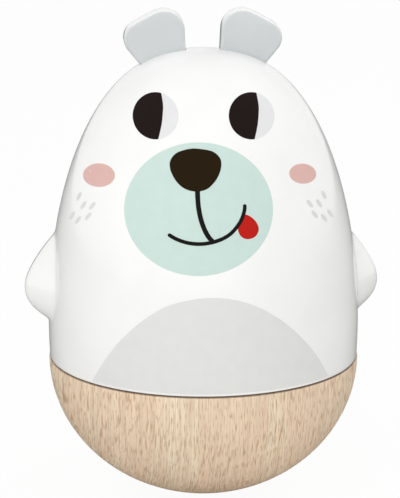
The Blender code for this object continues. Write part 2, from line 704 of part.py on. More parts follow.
def build_hammer(parent):
    """The hammer around its pin: a rod with an eye, a wooden head and the nut that holds it."""
    head_half = math.sqrt(HEAD_RADIUS**2 - HEAD_FLAT_RADIUS**2)
    head_top = head_half - HAMMER_REACH
    head_low = -head_half - HAMMER_REACH
    nut_top = head_low - FIT
    nut_low = nut_top - NUT_HEIGHT
    bore = SHANK_RADIUS + FIT
    thick = FORK_SLOT / 2.0 - EYE_FIT
    across = Matrix.Rotation(math.pi / 2.0, 4, "Y")
    eye = placed(tube(PIN_RADIUS + FIT, EYE_RADIUS, -thick, thick, 24), across)
    rod = piece("hammer_rod", eye, "steel", parent)
    collar = head_top + FIT
    outline = [
        (0.0, -(EYE_RADIUS + PIN_RADIUS + FIT) / 2.0),
        (SHANK_RADIUS, -(EYE_RADIUS + PIN_RADIUS + FIT) / 2.0),
        (SHANK_RADIUS, collar + COLLAR_HEIGHT),
        (COLLAR_RADIUS, collar + COLLAR_HEIGHT),
        (COLLAR_RADIUS, collar),
        (SHANK_RADIUS, collar),
        (SHANK_RADIUS, nut_low - SHANK_TAIL),
        (0.0, nut_low - SHANK_TAIL),
    ]
    combine(rod, "UNION", tool("hammer_shank", turned(outline, 16), parent))
    first = math.acos(head_half / HEAD_RADIUS)
    outline = [(bore, head_low), (bore, head_top)]
    for step in range(11):
        angle = first + (math.pi - 2.0 * first) * step / 10
        outline.append((HEAD_RADIUS * math.sin(angle), HEAD_RADIUS * math.cos(angle) - HAMMER_REACH))
    piece("hammer_head", turned(outline, 20, closed=True), "beech", parent)
    nut = tube(bore, NUT_RADIUS, nut_low, nut_top, 6)
    piece("hammer_nut", nut, "brass", parent, 20.0)


def main():
    clear_scene()
    toy = axis_empty("toy", 0.0, None)
    swivel_axis = axis_empty("swivel_axis", PIN_Z, toy)
    hammer_axis = axis_empty("hammer_axis", PIN_Z, swivel_axis)
    build_base(toy)
    build_ring(toy)
    build_shells(toy)
    build_chime(toy)
    build_swivel(swivel_axis)
    build_hammer(hammer_axis)


main()
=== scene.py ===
"""Musical roly-poly bear: the finished pieces, their materials and a small studio.

The packed solids are loaded first, and their boxes place the finer pieces that stand for them. Each operator
models one piece, or a group of pieces that belong together, in the part's own frame: metres, +Z up, the ears
in the XZ plane and the face towards -Y.
"""

import math

import bmesh
import bpy
from bpy.props import FloatProperty, FloatVectorProperty, PointerProperty
from mathutils import Matrix, Vector


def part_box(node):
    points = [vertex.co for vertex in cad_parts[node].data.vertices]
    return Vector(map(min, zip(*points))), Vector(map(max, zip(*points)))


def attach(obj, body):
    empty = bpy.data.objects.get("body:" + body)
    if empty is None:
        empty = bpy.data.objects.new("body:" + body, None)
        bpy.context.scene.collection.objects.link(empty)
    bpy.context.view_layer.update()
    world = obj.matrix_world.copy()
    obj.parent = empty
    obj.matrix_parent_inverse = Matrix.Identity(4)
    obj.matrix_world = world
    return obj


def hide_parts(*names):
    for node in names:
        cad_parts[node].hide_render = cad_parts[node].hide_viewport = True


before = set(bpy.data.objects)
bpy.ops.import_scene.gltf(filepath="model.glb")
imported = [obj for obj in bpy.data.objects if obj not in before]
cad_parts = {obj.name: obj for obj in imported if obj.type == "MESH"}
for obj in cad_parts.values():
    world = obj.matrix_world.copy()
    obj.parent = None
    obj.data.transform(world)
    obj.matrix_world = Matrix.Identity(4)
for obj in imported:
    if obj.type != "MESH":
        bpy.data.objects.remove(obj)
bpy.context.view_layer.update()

bl_info = {
    "name": "Musical Roly-Poly Bear",
    "version": (1, 0, 0),
    "blender": (4, 5, 0),
    "location": "View3D > Sidebar > Roly-Poly",
    "description": "Models the toy's pieces over its packed solids and sets up the studio around them",
    "category": "Object",
}

BASE_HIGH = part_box("wooden_base")[1]
SHELL_LOW, SHELL_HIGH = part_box("front_shell")
EAR_LOW, EAR_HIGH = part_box("left_ear")
MM = 0.001
WELD = 1e-6
CLEAR = 0.1 * MM
SCREWS = {"ring_screw": 4, "plate_screw": 4, "bridge_screw": 2}
RODS = 8
BEECH = ("wood", "wood_pale", "wood_rosy", "fleck")
MIRROR = Matrix.Scale(-1.0, 4, (1.0, 0.0, 0.0))
WHITE = (1.0, 1.0, 1.0, 1.0)


def srgb(red, green, blue):
    """A colour read off a swatch, 0 to 255, as the linear colour that shaders take."""
    swatch = (red / 255.0, green / 255.0, blue / 255.0)
    return tuple(v / 12.92 if v <= 0.04045 else ((v + 0.055) / 1.055) ** 2.4 for v in swatch)


def length(name, description, default):
    """A size in metres."""
    return FloatProperty(
        name=name, description=description, default=default, unit="LENGTH", subtype="DISTANCE", precision=5
    )


def angle(name, description, degrees):
    """An angle, given in degrees."""
    return FloatProperty(
        name=name, description=description, default=math.radians(degrees), unit="ROTATION", subtype="ANGLE"
    )


def number(name, description, default):
    """A plain number."""
    return FloatProperty(name=name, description=description, default=default, precision=4)


def colour(name, description, red, green, blue):
    """A colour, given as a swatch of 0 to 255."""
    return FloatVectorProperty(
        name=name,
        description=description,
        default=srgb(red, green, blue),
        subtype="COLOR",
        size=3,
        min=0.0,
        max=1.0,
    )


class ToyBody(bpy.types.PropertyGroup):
    """The white body and its arms."""

    radius: length("Radius", "Widest radius of the body", 48.5 * MM)
    widest: length("Widest Height", "Height at which the body is widest", 53.3 * MM)
    crown: length("Crown Height", "Height of the top of the head", SHELL_HIGH.z)
    foot: length("Lower Edge Height", "Height of the body's lower edge", SHELL_LOW.z - 0.15 * MM)
    side_power: number("Side Fullness", "How full the sides stand below the crown", 2.49)
    tuck: length("Tuck", "How far the lower edge draws in below the widest point", 0.26 * MM)
    wall: length("Wall", "Thickness of the body's wall", 2.4 * MM)
    edge: length("Lower Edge Rounding", "Rounding of the body's lower edge", 0.3 * MM)
    lead: length("Lead-In", "Chamfer inside the body's lower edge", 0.4 * MM)
    groove: length("Groove", "Depth of the groove that snaps over the coupling ring's bead", 0.7 * MM)
    groove_height: length("Groove Height", "Height of the middle of that groove", 50.3 * MM)
    groove_width: length("Groove Width", "Width of that groove", 2.8 * MM)
    boss: length("Boss Radius", "Radius of the bosses that the two halves meet on", 3.2 * MM)
    boss_length: length("Boss Length", "Length of those bosses", 7.0 * MM)
    peg: length("Peg Radius", "Radius of the pegs that line the two halves up", 1.6 * MM)
    peg_length: length("Peg Length", "How far the pegs stand out of the front half", 5.0 * MM)
    peg_low: length("Low Pegs", "Height of the lower pair of pegs", 85.3 * MM)
    peg_high: length("High Pegs", "Height of the upper pair of pegs", 115.3 * MM)
    peg_fit: length("Peg Fit", "Gap round the pegs in their sockets", 0.3 * MM)
    arm_reach: length("Arm Reach", "How far the arms stand out from the sides", 7.82 * MM)
    arm_height: length("Arm Height", "Height of the arms' tips", 67.28 * MM)
    arm_above: length("Arm Above", "Length of the arms above their tips", 15.58 * MM)
    arm_below: length("Arm Below", "Length of the arms below their tips", 10.97 * MM)
    arm_upper: number("Arm Upper Fullness", "How full the arms stand above their tips", 1.44)
    arm_lower: number("Arm Lower Fullness", "How full the arms stand below their tips", 2.41)
    arm_front: length("Arm Front", "Length of the arms' flat slope in front of their ridge", 10.21 * MM)
    arm_root: number("Arm Front Fullness", "How slowly that slope shortens on its way up", 0.38)
    arm_rear: length("Arm Rear", "Length of the arms' round back behind their ridge", 16.4 * MM)
    arm_setback: length("Arm Setback", "How far the arms' tips sit behind the middle", 0.12 * MM)
    arm_lean: number("Arm Lean", "How far the arms run forwards on their way down", 0.083)
    arm_spread: number("Arm Spread", "How far the arms' round back widens on its way down", 0.35)
    arm_turn: angle("Arm Turn", "How far the arms are turned from the ears", 4.0)
    arm_tilt: angle("Arm Tilt", "How far the right arm sits higher than the left one", 0.429)
    arm_blend: length("Arm Blend", "Radius of the fillet that runs the arms into the body", 0.9 * MM)


class ToyBase(bpy.types.PropertyGroup):
    """The turned wooden base."""

    rim: length("Rim Radius", "Radius of the base at its rim", BASE_HIGH.x)
    height: length("Height", "Height of the base at its rim", BASE_HIGH.z - 0.25 * MM)
    rim_round: length("Rim Rounding", "Rounding of the rim's outer edge", 0.4 * MM)
    foot: length("Foot Radius", "Radius of the flat that the toy stands on", 5.0 * MM)
    cavity: length("Cavity Radius", "Radius of the hollow that the chime stands in", 36.14 * MM)
    step: length("Step Height", "Height of the step that carries the chime plate", 25.6 * MM)
    pocket: length("Pocket Radius", "Radius of the pocket for the counterweight", 26.14 * MM)
    pocket_floor: length("Pocket Floor", "Height of the pocket's floor", 11.0 * MM)


class ToyEars(bpy.types.PropertyGroup):
    """The two flat ears, given for the one on the toy's left."""

    tip_x: length("Tip X", "Corner at the ear's tip, across", 6.1 * MM)
    tip_z: length("Tip Z", "Corner at the ear's tip, up", 155.3 * MM)
    tip_round: length("Tip Rounding", "Rounding of the tip", 6.3 * MM)
    corner_x: length("Corner X", "Outer corner, across", 27.2 * MM)
    corner_z: length("Corner Z", "Outer corner, up", 144.7 * MM)
    corner_round: length("Corner Rounding", "Rounding of the outer corner", 5.5 * MM)
    inner_slope: number("Inner Slope", "How far the inner side leans in on its way down", 0.051)
    outer_slope: number("Outer Slope", "How far the outer side leans in on its way down", 0.826)
    neck_z: length("Neck", "Height at which the neck ends in the foot", 130.0 * MM)
    foot_height: length("Foot Height", "Height of the foot inside the head", 3.5 * MM)
    foot_margin: length("Foot Margin", "How far the foot is wider than the neck on each side", 3.2 * MM)
    swell: length("Swell", "How far the upper edge swells between its corners", 0.4 * MM)
    swell_round: length("Swell Rounding", "Rounding at the top of that swell", 60.0 * MM)
    edge: length("Edge Rounding", "Rounding all round the front and back", 1.9 * MM)
    # The next four set the ears' painted highlight on their sides, not wear: paler paint standing in for
    # light, which begins this high above the neck, grows to full over the rise, and is stronger on the outer
    # side than the inner.
    highlight_low: length("Wear Start", "Height above the neck at which the sides' wear begins", 8.0 * MM)
    highlight_rise: length("Wear Rise", "Height over which the sides' wear grows to its full", 11.0 * MM)
    highlight_outer: number("Outer Wear", "How worn the outer side is", 1.3)
    highlight_inner: number("Inner Wear", "How worn the inner side is", 0.7)


class ToyWorks(bpy.types.PropertyGroup):
    """The coupling ring and the chime inside the toy."""

    spigot: length("Spigot Radius", "Outer radius of the coupling ring's spigot", 45.54 * MM)
    spigot_wall: length("Spigot Wall", "Wall of the coupling ring's spigot", 2.2 * MM)
    flange_bore: length("Flange Bore", "Radius of the coupling ring's opening", 37.14 * MM)
    flange: length("Flange", "Thickness of the coupling ring's flange", 2.5 * MM)
    bead: length("Bead", "How far the coupling ring's bead stands proud", 0.7 * MM)
    bead_width: length("Bead Width", "Width of that bead", 1.8 * MM)
    plate: length("Plate", "Thickness of the chime plate", 4.0 * MM)
    ridge: length("Ridge Half Width", "Half the width of the ridge that the rods stand in", 3.5 * MM)
    draft: length("Ridge Draft", "How far the ridge's sides lean in", 0.5 * MM)
    fit: length("Fit", "Gap between pieces that touch", 0.3 * MM)
    screw_head: length("Screw Head", "Height of the screws' heads", 1.8 * MM)
    shank: length("Screw Shank", "Radius of the screws' shanks", 1.25 * MM)
    neck: length("Screw Neck", "Plain length under the screws' heads", 1.0 * MM)
    pitch: length("Screw Pitch", "Distance from one thread of the screws to the next", 0.9 * MM)
    strip: length("Bridge Thickness", "Thickness of the bridge's strip", 2.0 * MM)
    bend: length("Bridge Bend", "Inner radius of the bridge's bends", 1.0 * MM)
    leg: length("Bridge Legs", "Distance of the bridge's legs from the middle", 25.94 * MM)
    bush: length("Bush Radius", "Radius of the bush in the bridge", 4.0 * MM)
    stud: length("Stud Radius", "Radius of the stud that turns in the bush", 2.0 * MM)
    groove: length("Stud Groove", "Depth of the groove for the stud's clip", 0.6 * MM)
    slot: length("Fork Slot", "Width of the slot in the stud's fork", 3.4 * MM)
    pin: length("Pin Radius", "Radius of the pin that the hammer swings on", 1.0 * MM)
    eye: length("Eye Radius", "Radius of the eye of the hammer's rod", 3.0 * MM)
    rod: length("Hammer Rod Radius", "Radius of the hammer's rod", 1.0 * MM)
    collar: length("Collar Radius", "Radius of the collar that the hammer's head hangs against", 2.2 * MM)
    flat: length("Head Flat Radius", "Radius of the flats of the hammer's head", 2.7 * MM)
    play: length("Play", "Gap round the eye in the stud's fork", 0.35 * MM)
    mouth: angle("Clip Mouth", "Opening of the stud's clip", 80.0)


class ToyPrint(bpy.types.PropertyGroup):
    """The printed face. Its artwork is drawn on a flat plane and pressed onto the body."""

    tilt: angle("Lean", "How far the artwork's plane leans back", 13.74)
    turn: angle("Turn", "How far the face is turned from the middle between the ears", -4.2)
    centre: length("Centre", "Height of the artwork's own origin on the body's axis", 77.06 * MM)
    ink: length("Ink", "Thickness of one layer of ink", 0.03 * MM)
    cell: length("Cell", "Size of the squares that let the ink follow the curve", 1.5 * MM)
    margin: length("Margin", "Bare strip between the belly and the body's lower edge", 0.8 * MM)
    away: length("Press Distance", "How far in front of the body's axis the artwork starts", 0.1)


class ToyColours(bpy.types.PropertyGroup):
    """The colours of the toy's finishes."""

    white: colour("Body", "Lacquer of the body", 248, 248, 247)
    grey: colour("Ears", "Lacquer of the ears", 210, 214, 215)
    wood: colour("Beech", "The wood between its flecks", 243, 219, 189)
    wood_pale: colour("Pale Beech", "The paler bands of the wood", 249, 231, 203)
    wood_rosy: colour("Rosy Beech", "The rosier bands of the wood", 243, 214, 187)
    fleck: colour("Flecks", "The short dark flecks of the wood", 190, 151, 116)
    muzzle: colour("Muzzle", "Ink of the muzzle", 203, 224, 217)
    nose: colour("Nose", "Ink of the nose", 38, 27, 10)
    line: colour("Mouth", "Ink of the mouth's lines", 27, 25, 23)
    tongue: colour("Tongue", "Ink of the tongue", 189, 34, 26)
    eye: colour("Eyes", "Ink of the dark of the eyes", 33, 24, 22)
    eye_pale: colour("Pale Eyes", "Ink of the pale of the eyes", 229, 229, 230)
    cheek: colour("Cheeks", "Ink of the cheeks", 223, 184, 177)
    freckle: colour("Freckles", "Ink of the freckles", 222, 222, 219)
    belly: colour("Belly", "Ink of the belly", 225, 225, 223)
    ivory: colour("Coupling", "Plastic of the coupling ring", 224, 220, 206)
    iron: colour("Counterweight", "Skin of the cast counterweight", 72, 72, 75)
    steel: colour("Steel", "Steel of the rods, screws and pin", 196, 197, 199)
    zinc: colour("Zinc", "Zinc plating of the plate and bridge", 178, 181, 186)
    brass: colour("Brass", "Brass of the bush, stud and nut", 222, 188, 118)


class ToyStudio(bpy.types.PropertyGroup):
    """The camera, the lamps and the floor."""

    distance: length("Distance", "Distance of the camera from the body's axis", 650.0 * MM)
    elevation: angle("Elevation", "How far the camera looks down", 13.74)
    azimuth: angle("Azimuth", "How far the camera stands to the side", -4.2)
    target: length("Target", "Height on the body's axis that the camera looks at", 77.06 * MM)
    lens: number("Lens", "Focal length in millimetres", 150.5)
    shift: number("Shift", "Sideways shift of the frame", -0.0066)
    key: number("Key", "Power of the soft lamp in front, to the left, in watts", 4.5)
    right: number("Right", "Power of the soft lamp behind, to the right, in watts", 3.2)
    left: number("Left", "Power of the soft lamp above, to the left, in watts", 1.6)
    walls: number("Walls", "Strength of the light from the studio's walls", 0.88)
    ceiling: number("Ceiling", "Strength of the light from the studio's ceiling", 0.545)
    glow: number("Floor White", "Share of the floor that the camera sees as plain white", 0.95)
    gloom: number("Gloom", "Strength of the floor as it is mirrored in the lacquer", 0.05)
    floor: colour("Floor", "Colour of the floor", 240, 240, 239)
    floor_radius: length("Floor Radius", "Radius of the floor", 4.0)
    lamp_distance: length("Lamp Distance", "Distance of the lamps from the toy", 1.2)
    lamp_width: length("Lamp Width", "Width of the lamps", 0.7)
    lamp_height: length("Lamp Height", "Height of the lamps", 0.9)
    lamp_aim: length("Lamp Aim", "Height that the lamps point at", 75.0 * MM)


def deselect():
    """Back to object mode with nothing selected."""
    if bpy.context.object is not None and bpy.context.object.mode != "OBJECT":
        bpy.ops.object.mode_set(mode="OBJECT")
    bpy.ops.object.select_all(action="DESELECT")


def take(obj):
    """Makes one object the only one selected, and the active one."""
    deselect()
    obj.select_set(True)
    bpy.context.view_layer.objects.active = obj


def edit(obj):
    """Opens an object for editing with all of it selected."""
    take(obj)
    bpy.ops.object.mode_set(mode="EDIT")
    bpy.ops.mesh.select_mode(type="VERT")
    bpy.ops.mesh.select_all(action="SELECT")


def done():
    """Closes the object that is open for editing."""
    bpy.ops.object.mode_set(mode="OBJECT")


def choose(obj, kind, test):
    """In edit mode, selects the points or the edges that pass a test."""
    bpy.ops.mesh.select_mode(type=kind)
    bpy.ops.mesh.select_all(action="DESELECT")
    shape = bmesh.from_edit_mesh(obj.data)
    for item in shape.verts if kind == "VERT" else shape.edges:
        if test(item):
            item.select_set(True)
    shape.select_flush_mode()
    bmesh.update_edit_mesh(obj.data)


def named(obj, name):
    """Gives an object and its mesh one name."""
    obj.name = name
    obj.data.name = name
    return obj


def ring(name, points):
    """A closed ring of edges: a circle whose points are moved into place."""
    deselect()
    bpy.ops.mesh.primitive_circle_add(vertices=len(points), radius=10.0 * MM)
    obj = named(bpy.context.object, name)
    for vert, point in zip(obj.data.vertices, points):
        vert.co = point
    return obj


def tidy_mesh():
    """In edit mode, merges doubles, drops what has no face and turns the faces outwards."""
    bpy.ops.mesh.select_all(action="SELECT")
    bpy.ops.mesh.remove_doubles(threshold=WELD)
    bpy.ops.mesh.delete_loose()
    bpy.ops.mesh.select_all(action="SELECT")
    bpy.ops.mesh.normals_make_consistent(inside=False)


def turn(name, section, steps, sweep=math.tau):
    """A section of (radius, height) pairs turned about Z. A part turn is closed at both ends."""
    obj = ring(name, [(radius, 0.0, height) for radius, height in section])
    edit(obj)
    bpy.ops.mesh.spin(steps=steps, angle=sweep, center=(0.0, 0.0, 0.0), axis=(0.0, 0.0, 1.0))
    tidy_mesh()
    if abs(sweep) < math.tau:
        bpy.ops.mesh.select_mode(type="EDGE")
        bpy.ops.mesh.select_all(action="DESELECT")
        bpy.ops.mesh.select_non_manifold(use_wire=False, use_multi_face=False, use_non_contiguous=False)
        bpy.ops.mesh.edge_face_add()
        tidy_mesh()
    done()
    return obj


def slab(name, outline, near, far):
    """An outline of (x, z) points drawn out along Y."""
    obj = ring(name, [(x, near, z) for x, z in outline])
    edit(obj)
    bpy.ops.mesh.edge_face_add()
    bpy.ops.mesh.extrude_region_move(TRANSFORM_OT_translate={"value": (0.0, far - near, 0.0)})
    tidy_mesh()
    done()
    return obj


def rounded(corners, steps):
    """An outline of (x, z) points from corners of (x, z, rounding)."""
    points = []
    for index, (x, z, rounding) in enumerate(corners):
        before = corners[index - 1]
        after = corners[(index + 1) % len(corners)]
        if rounding == 0.0:
            points.append((x, z))
            continue
        start = math.atan2(before[1] - z, before[0] - x)
        swing = math.remainder(math.atan2(after[1] - z, after[0] - x) - start, math.tau)
        half = abs(swing) / 2.0
        middle = start + swing / 2.0
        away = rounding / math.sin(half)
        centre = (x + away * math.cos(middle), z + away * math.sin(middle))
        sweep = math.copysign(math.pi - 2.0 * half, swing)
        for step in range(steps + 1):
            at = middle + math.pi + sweep * (0.5 - step / steps)
            points.append((centre[0] + rounding * math.cos(at), centre[1] + rounding * math.sin(at)))
    return points


def merged(objects):
    """Several objects made one, which is left selected."""
    take(objects[0])
    for obj in objects[1:]:
        obj.select_set(True)
    if len(objects) > 1:
        bpy.ops.object.join()
    return objects[0]


def joined(objects):
    """Several objects made one, its place and turn moved into its mesh."""
    obj = merged(objects)
    bpy.ops.object.transform_apply(location=True, rotation=True, scale=True)
    return obj


def bar(radius, depth, place, rotation=(0.0, 0.0, 0.0), sides=32):
    """A round bar with its middle at a place, upright unless it is turned."""
    deselect()
    bpy.ops.mesh.primitive_cylinder_add(
        vertices=sides, radius=radius, depth=depth, location=place, rotation=rotation
    )
    return bpy.context.object


def block(sizes, height, spin=0.0):
    """A block on the body's axis with its middle at a height, turned about that axis."""
    deselect()
    bpy.ops.mesh.primitive_cube_add(
        size=1.0, location=(0.0, 0.0, height), rotation=(0.0, 0.0, spin), scale=sizes
    )
    return joined([bpy.context.object])


def drills(radius, low, high, places, sides=32):
    """Round cutters, upright, at a row of places."""
    middle = (low + high) / 2.0
    return joined([bar(radius, high - low, (x, y, middle), sides=sides) for x, y in places])


def combine(obj, operation, tool):
    """Cuts a tool from a piece or joins it on, and takes the tool away."""
    take(obj)
    modifier = obj.modifiers.new("Combine", "BOOLEAN")
    modifier.operation = operation
    modifier.solver = "EXACT"
    modifier.object = tool
    bpy.ops.object.modifier_apply(modifier=modifier.name)
    if not obj.data.polygons:
        raise RuntimeError(f"{obj.name}: nothing is left after {tool.name}")
    bpy.data.objects.remove(tool, do_unlink=True)


def bevel(obj, width, segments, test):
    """Rounds the edges that pass a test."""
    edit(obj)
    choose(obj, "EDGE", test)
    bpy.ops.mesh.bevel(offset=width, segments=segments, profile=0.5, affect="EDGES", clamp_overlap=True)
    tidy_mesh()
    done()


def smooth(obj, degrees):
    """Smooth shading with creases where faces meet at more than the angle."""
    take(obj)
    bpy.ops.object.shade_smooth_by_angle(angle=math.radians(degrees))


def copy_of(obj, name, matrix):
    """A copy with a mesh of its own, moved inside that mesh."""
    take(obj)
    bpy.ops.object.duplicate(linked=False)
    copy = named(bpy.context.object, name)
    copy.data.transform(matrix)
    if matrix.determinant() < 0.0:
        edit(copy)
        bpy.ops.mesh.flip_normals()
        done()
    return copy


def settle(obj, finish, body, slot, *nodes):
    """Gives a finished piece its material, parents it to an empty for the body it rides on and hides the
    packed nodes it stands for.
    """
    obj.data.materials.clear()
    obj.data.materials.append(finish)
    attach(obj, body)
    if nodes:
        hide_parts(*nodes)


class Wire:
    """One output of a shader node. Sums and products of wires add Math nodes."""

    def __init__(self, tree, socket=None):
        self.tree = tree
        self.socket = socket

    def node(self, kind, settings, sockets, output=0):
        """Adds a node: its settings first, then a value or a link for each named or numbered socket."""
        added = self.tree.nodes.new(kind)
        for name, value in settings.items():
            setattr(added, name, value)
        for name, value in sockets.items():
            if isinstance(value, Wire):
                self.tree.links.new(value.socket, added.inputs[name])
            else:
                added.inputs[name].default_value = value
        return Wire(self.tree, added.outputs[output] if added.outputs else None)

    def ease(self, value, low, high):
        """A smooth step from 0 to 1 as a value goes from low to high."""
        return self.node(
            "ShaderNodeMapRange",
            {"interpolation_type": "SMOOTHSTEP"},
            {"Value": value, "From Min": low, "From Max": high},
        )

    def height(self, place):
        """The Z of a place or a direction."""
        return self.node("ShaderNodeSeparateXYZ", {}, {"Vector": place}, "Z")

    def seen(self):
        """1 for the rays that look straight at the studio, and 0 for the light it gives."""
        return self.node("ShaderNodeLightPath", {}, {}, "Is Camera Ray")

    def light(self, kind, strength):
        """A shader that gives plain white light."""
        return self.node(kind, {}, {"Color": WHITE, "Strength": strength})

    def blend(self, share, first, second):
        """A blend of two shaders."""
        return self.node("ShaderNodeMixShader", {}, {0: share, 1: first, 2: second})

    def _sum(self, operation, first, second):
        return self.node("ShaderNodeMath", {"operation": operation}, {0: first, 1: second})

    def __add__(self, other):
        return self._sum("ADD", self, other)

    def __radd__(self, other):
        return self._sum("ADD", other, self)

    def __sub__(self, other):
        return self._sum("SUBTRACT", self, other)

    def __rsub__(self, other):
        return self._sum("SUBTRACT", other, self)

    def __mul__(self, other):
        return self._sum("MULTIPLY", self, other)


class Finish(Wire):
    """A material in the making, from the piece's own coordinates."""

    def __init__(self, name):
        self.material = bpy.data.materials.new(name)
        self.material.use_nodes = True
        self.material.node_tree.nodes.clear()
        super().__init__(self.material.node_tree)
        self.place = self.node("ShaderNodeTexCoord", {}, {}, "Object")

    def stretched(self, across, deep, along):
        """The place divided by a size in millimetres along X, one along Y and one along Z."""
        scale = tuple(1.0 / (size * MM) for size in (across, deep, along))
        return self.node("ShaderNodeMapping", {}, {"Vector": self.place, "Scale": scale})

    def even(self, size):
        """The place divided by one size in millimetres."""
        return self.stretched(size, size, size)

    def noise(self, place, detail, roughness=0.5):
        """Soft noise about one unit of a place in size."""
        return self.node(
            "ShaderNodeTexNoise",
            {},
            {"Vector": place, "Scale": 1.0, "Detail": detail, "Roughness": roughness},
        )

    def mix(self, share, first, second):
        """A blend of two colours."""
        first = first if isinstance(first, Wire) else (*first, 1.0)
        second = second if isinstance(second, Wire) else (*second, 1.0)
        return self.node("ShaderNodeMix", {"data_type": "RGBA"}, {0: share, 6: first, 7: second}, 2)

    def bump(self, relief, depth, strength):
        """A relief of a depth in millimetres."""
        sockets = {"Height": relief, "Distance": depth * MM, "Strength": strength}
        return self.node("ShaderNodeBump", {}, sockets)

    def close(self, **sockets):
        """Ends the material in one surface shader."""
        spaced = {name.replace("_", " "): value for name, value in sockets.items()}
        shader = self.node("ShaderNodeBsdfPrincipled", {}, spaced)
        self.node("ShaderNodeOutputMaterial", {}, {"Surface": shader})
        return self.material


def shade(tint, factor):
    """A colour made lighter or darker."""
    return tuple(min(1.0, part * factor) for part in tint)


def sprayed(finish, tint):
    """Sprayed gloss lacquer: its faint clouding, colour and roughness, and its soft pebbled skin."""
    clouds = finish.noise(finish.even(18.0), 3.0)
    skin = finish.noise(finish.even(0.55), 2.0)
    base = finish.mix(finish.ease(clouds, 0.3, 0.7), shade(tint, 0.985), shade(tint, 1.012))
    rough = 0.15 + (clouds - 0.5) * 0.06 + (skin - 0.5) * 0.04
    return clouds, base, rough, finish.bump(skin, 0.001, 0.3)


def lacquer(name, tint):
    """Gloss lacquer sprayed on moulded plastic."""
    finish = Finish(name)
    _, base, rough, skin = sprayed(finish, tint)
    return finish.close(Base_Color=base, Roughness=rough, Normal=skin, Specular_IOR_Level=0.5)


def lacquer_with_painted_highlight(name, tint, under):
    """Gloss lacquer with painted highlight: blended towards the paler second colour, under, where the mesh's
    highlight attribute marks faces turned up or out, as light would fall on them.
    """
    finish = Finish(name)
    clouds, base, rough, skin = sprayed(finish, tint)
    worn = finish.node("ShaderNodeAttribute", {"attribute_name": "worn"}, {}, "Fac")
    highlight_share = finish.ease(worn, 0.08, 0.80)
    # Painted highlight: the lacquer goes over to the paler colour where the mesh is marked.
    base = finish.mix(highlight_share * (0.95 + (clouds - 0.5) * 0.1), base, under)
    return finish.close(Base_Color=base, Roughness=rough, Normal=skin, Specular_IOR_Level=0.5)


def ink(name, tint):
    """Printed ink: slightly uneven cover and a drier surface than the lacquer under it."""
    finish = Finish(name)
    cover = finish.noise(finish.even(3.5), 2.0)
    grain = finish.noise(finish.even(0.35), 1.0)
    base = finish.mix(finish.ease(cover, 0.25, 0.75), shade(tint, 0.988), shade(tint, 1.012))
    rough = 0.48 + (cover - 0.5) * 0.08 + (grain - 0.5) * 0.05
    skin = finish.bump(grain, 0.004, 0.3)
    return finish.close(Base_Color=base, Roughness=rough, Normal=skin, Specular_IOR_Level=0.06)


def beech(name, wood, pale, rosy, fleck):
    """Waxed beech, its grain upright, with soft bands, streaks and flecks, and painted shade darkening the
    top of the rim in the gap under the body.
    """
    finish = Finish(name)
    tone = finish.noise(finish.stretched(9.0, 90.0, 220.0), 1.0)
    bands = finish.noise(finish.stretched(2.6, 60.0, 90.0), 2.0, 0.6)
    rings = finish.noise(finish.stretched(60.0, 1.3, 150.0), 2.0)
    streaks = finish.noise(finish.stretched(0.42, 12.0, 30.0), 1.0)
    fibres = finish.noise(finish.stretched(0.18, 0.5, 3.5), 1.0)
    base = finish.mix(finish.ease(bands, 0.32, 0.68), wood, pale)
    base = finish.mix(finish.ease(tone, 0.42, 0.60) * 0.65, base, rosy)
    base = finish.mix(finish.ease(rings, 0.45, 0.75) * 0.22, base, shade(wood, 0.80))
    base = finish.mix(finish.ease(streaks, 0.35, 0.68) * 0.6, base, shade(wood, 0.78))
    spindles = finish.ease(finish.noise(finish.stretched(0.36, 12.0, 3.6), 0.0), 0.52, 0.80) * 0.66
    pores = finish.ease(finish.noise(finish.stretched(0.40, 12.0, 2.8), 0.0), 0.62, 0.74) * 0.45
    marks = spindles + pores - spindles * pores
    base = finish.mix(marks, base, fleck)
    # Painted shade: the top of the rim, in the narrow gap under the body, is darkened to stand for the shade
    # there.
    up = finish.height(finish.place)
    end = finish.ease(up, BASE_HIGH.z - 0.46 * MM, BASE_HIGH.z - 0.32 * MM)
    base = finish.mix(end * 0.6, base, shade(fleck, 0.35))
    rough = 0.42 + (fibres - 0.5) * 0.12 - marks * 0.05
    relief = finish.bump(fibres * 0.35 + streaks * 0.25 - marks, 0.014, 0.35)
    return finish.close(Base_Color=base, Roughness=rough, Normal=relief, Specular_IOR_Level=0.4)


def plastic(name, tint):
    """Moulded plastic: faint flow marks and a fine matt skin."""
    finish = Finish(name)
    flow = finish.noise(finish.stretched(9.0, 9.0, 30.0), 2.0)
    skin = finish.noise(finish.even(0.4), 2.0)
    base = finish.mix(finish.ease(flow, 0.3, 0.7), shade(tint, 0.97), shade(tint, 1.02))
    rough = 0.44 + (flow - 0.5) * 0.12 + (skin - 0.5) * 0.08
    return finish.close(Base_Color=base, Roughness=rough, Normal=finish.bump(skin, 0.015, 0.4))


def cast_iron(name, tint):
    """Cast iron under black paint: a grainy sand-cast skin with rubbed, brighter high spots."""
    finish = Finish(name)
    sand = finish.noise(finish.even(0.7), 4.0, 0.65)
    pits = finish.noise(finish.even(3.0), 3.0)
    rubbed = finish.ease(sand * 0.5 + pits * 0.5, 0.55, 0.68)
    base = finish.mix(rubbed, shade(tint, 0.75), shade(tint, 1.9))
    rough, metal = 0.72 - rubbed * 0.22, 0.35 + rubbed * 0.5
    skin = finish.bump(sand, 0.12, 0.7)
    return finish.close(Base_Color=base, Roughness=rough, Metallic=metal, Normal=skin)


def drawn_steel(name, tint):
    """Drawn steel: fine scratches along the rod and a few dull patches."""
    finish = Finish(name)
    lines = finish.noise(finish.stretched(0.07, 0.07, 5.0), 2.0)
    dull = finish.ease(finish.noise(finish.stretched(2.4, 2.4, 8.0), 3.0), 0.45, 0.75)
    base = finish.mix(dull, tint, shade(tint, 0.78))
    rough = 0.24 + (lines - 0.5) * 0.16 + dull * 0.14
    skin = finish.bump(lines, 0.006, 0.4)
    return finish.close(Base_Color=base, Roughness=rough, Metallic=1.0, Normal=skin)


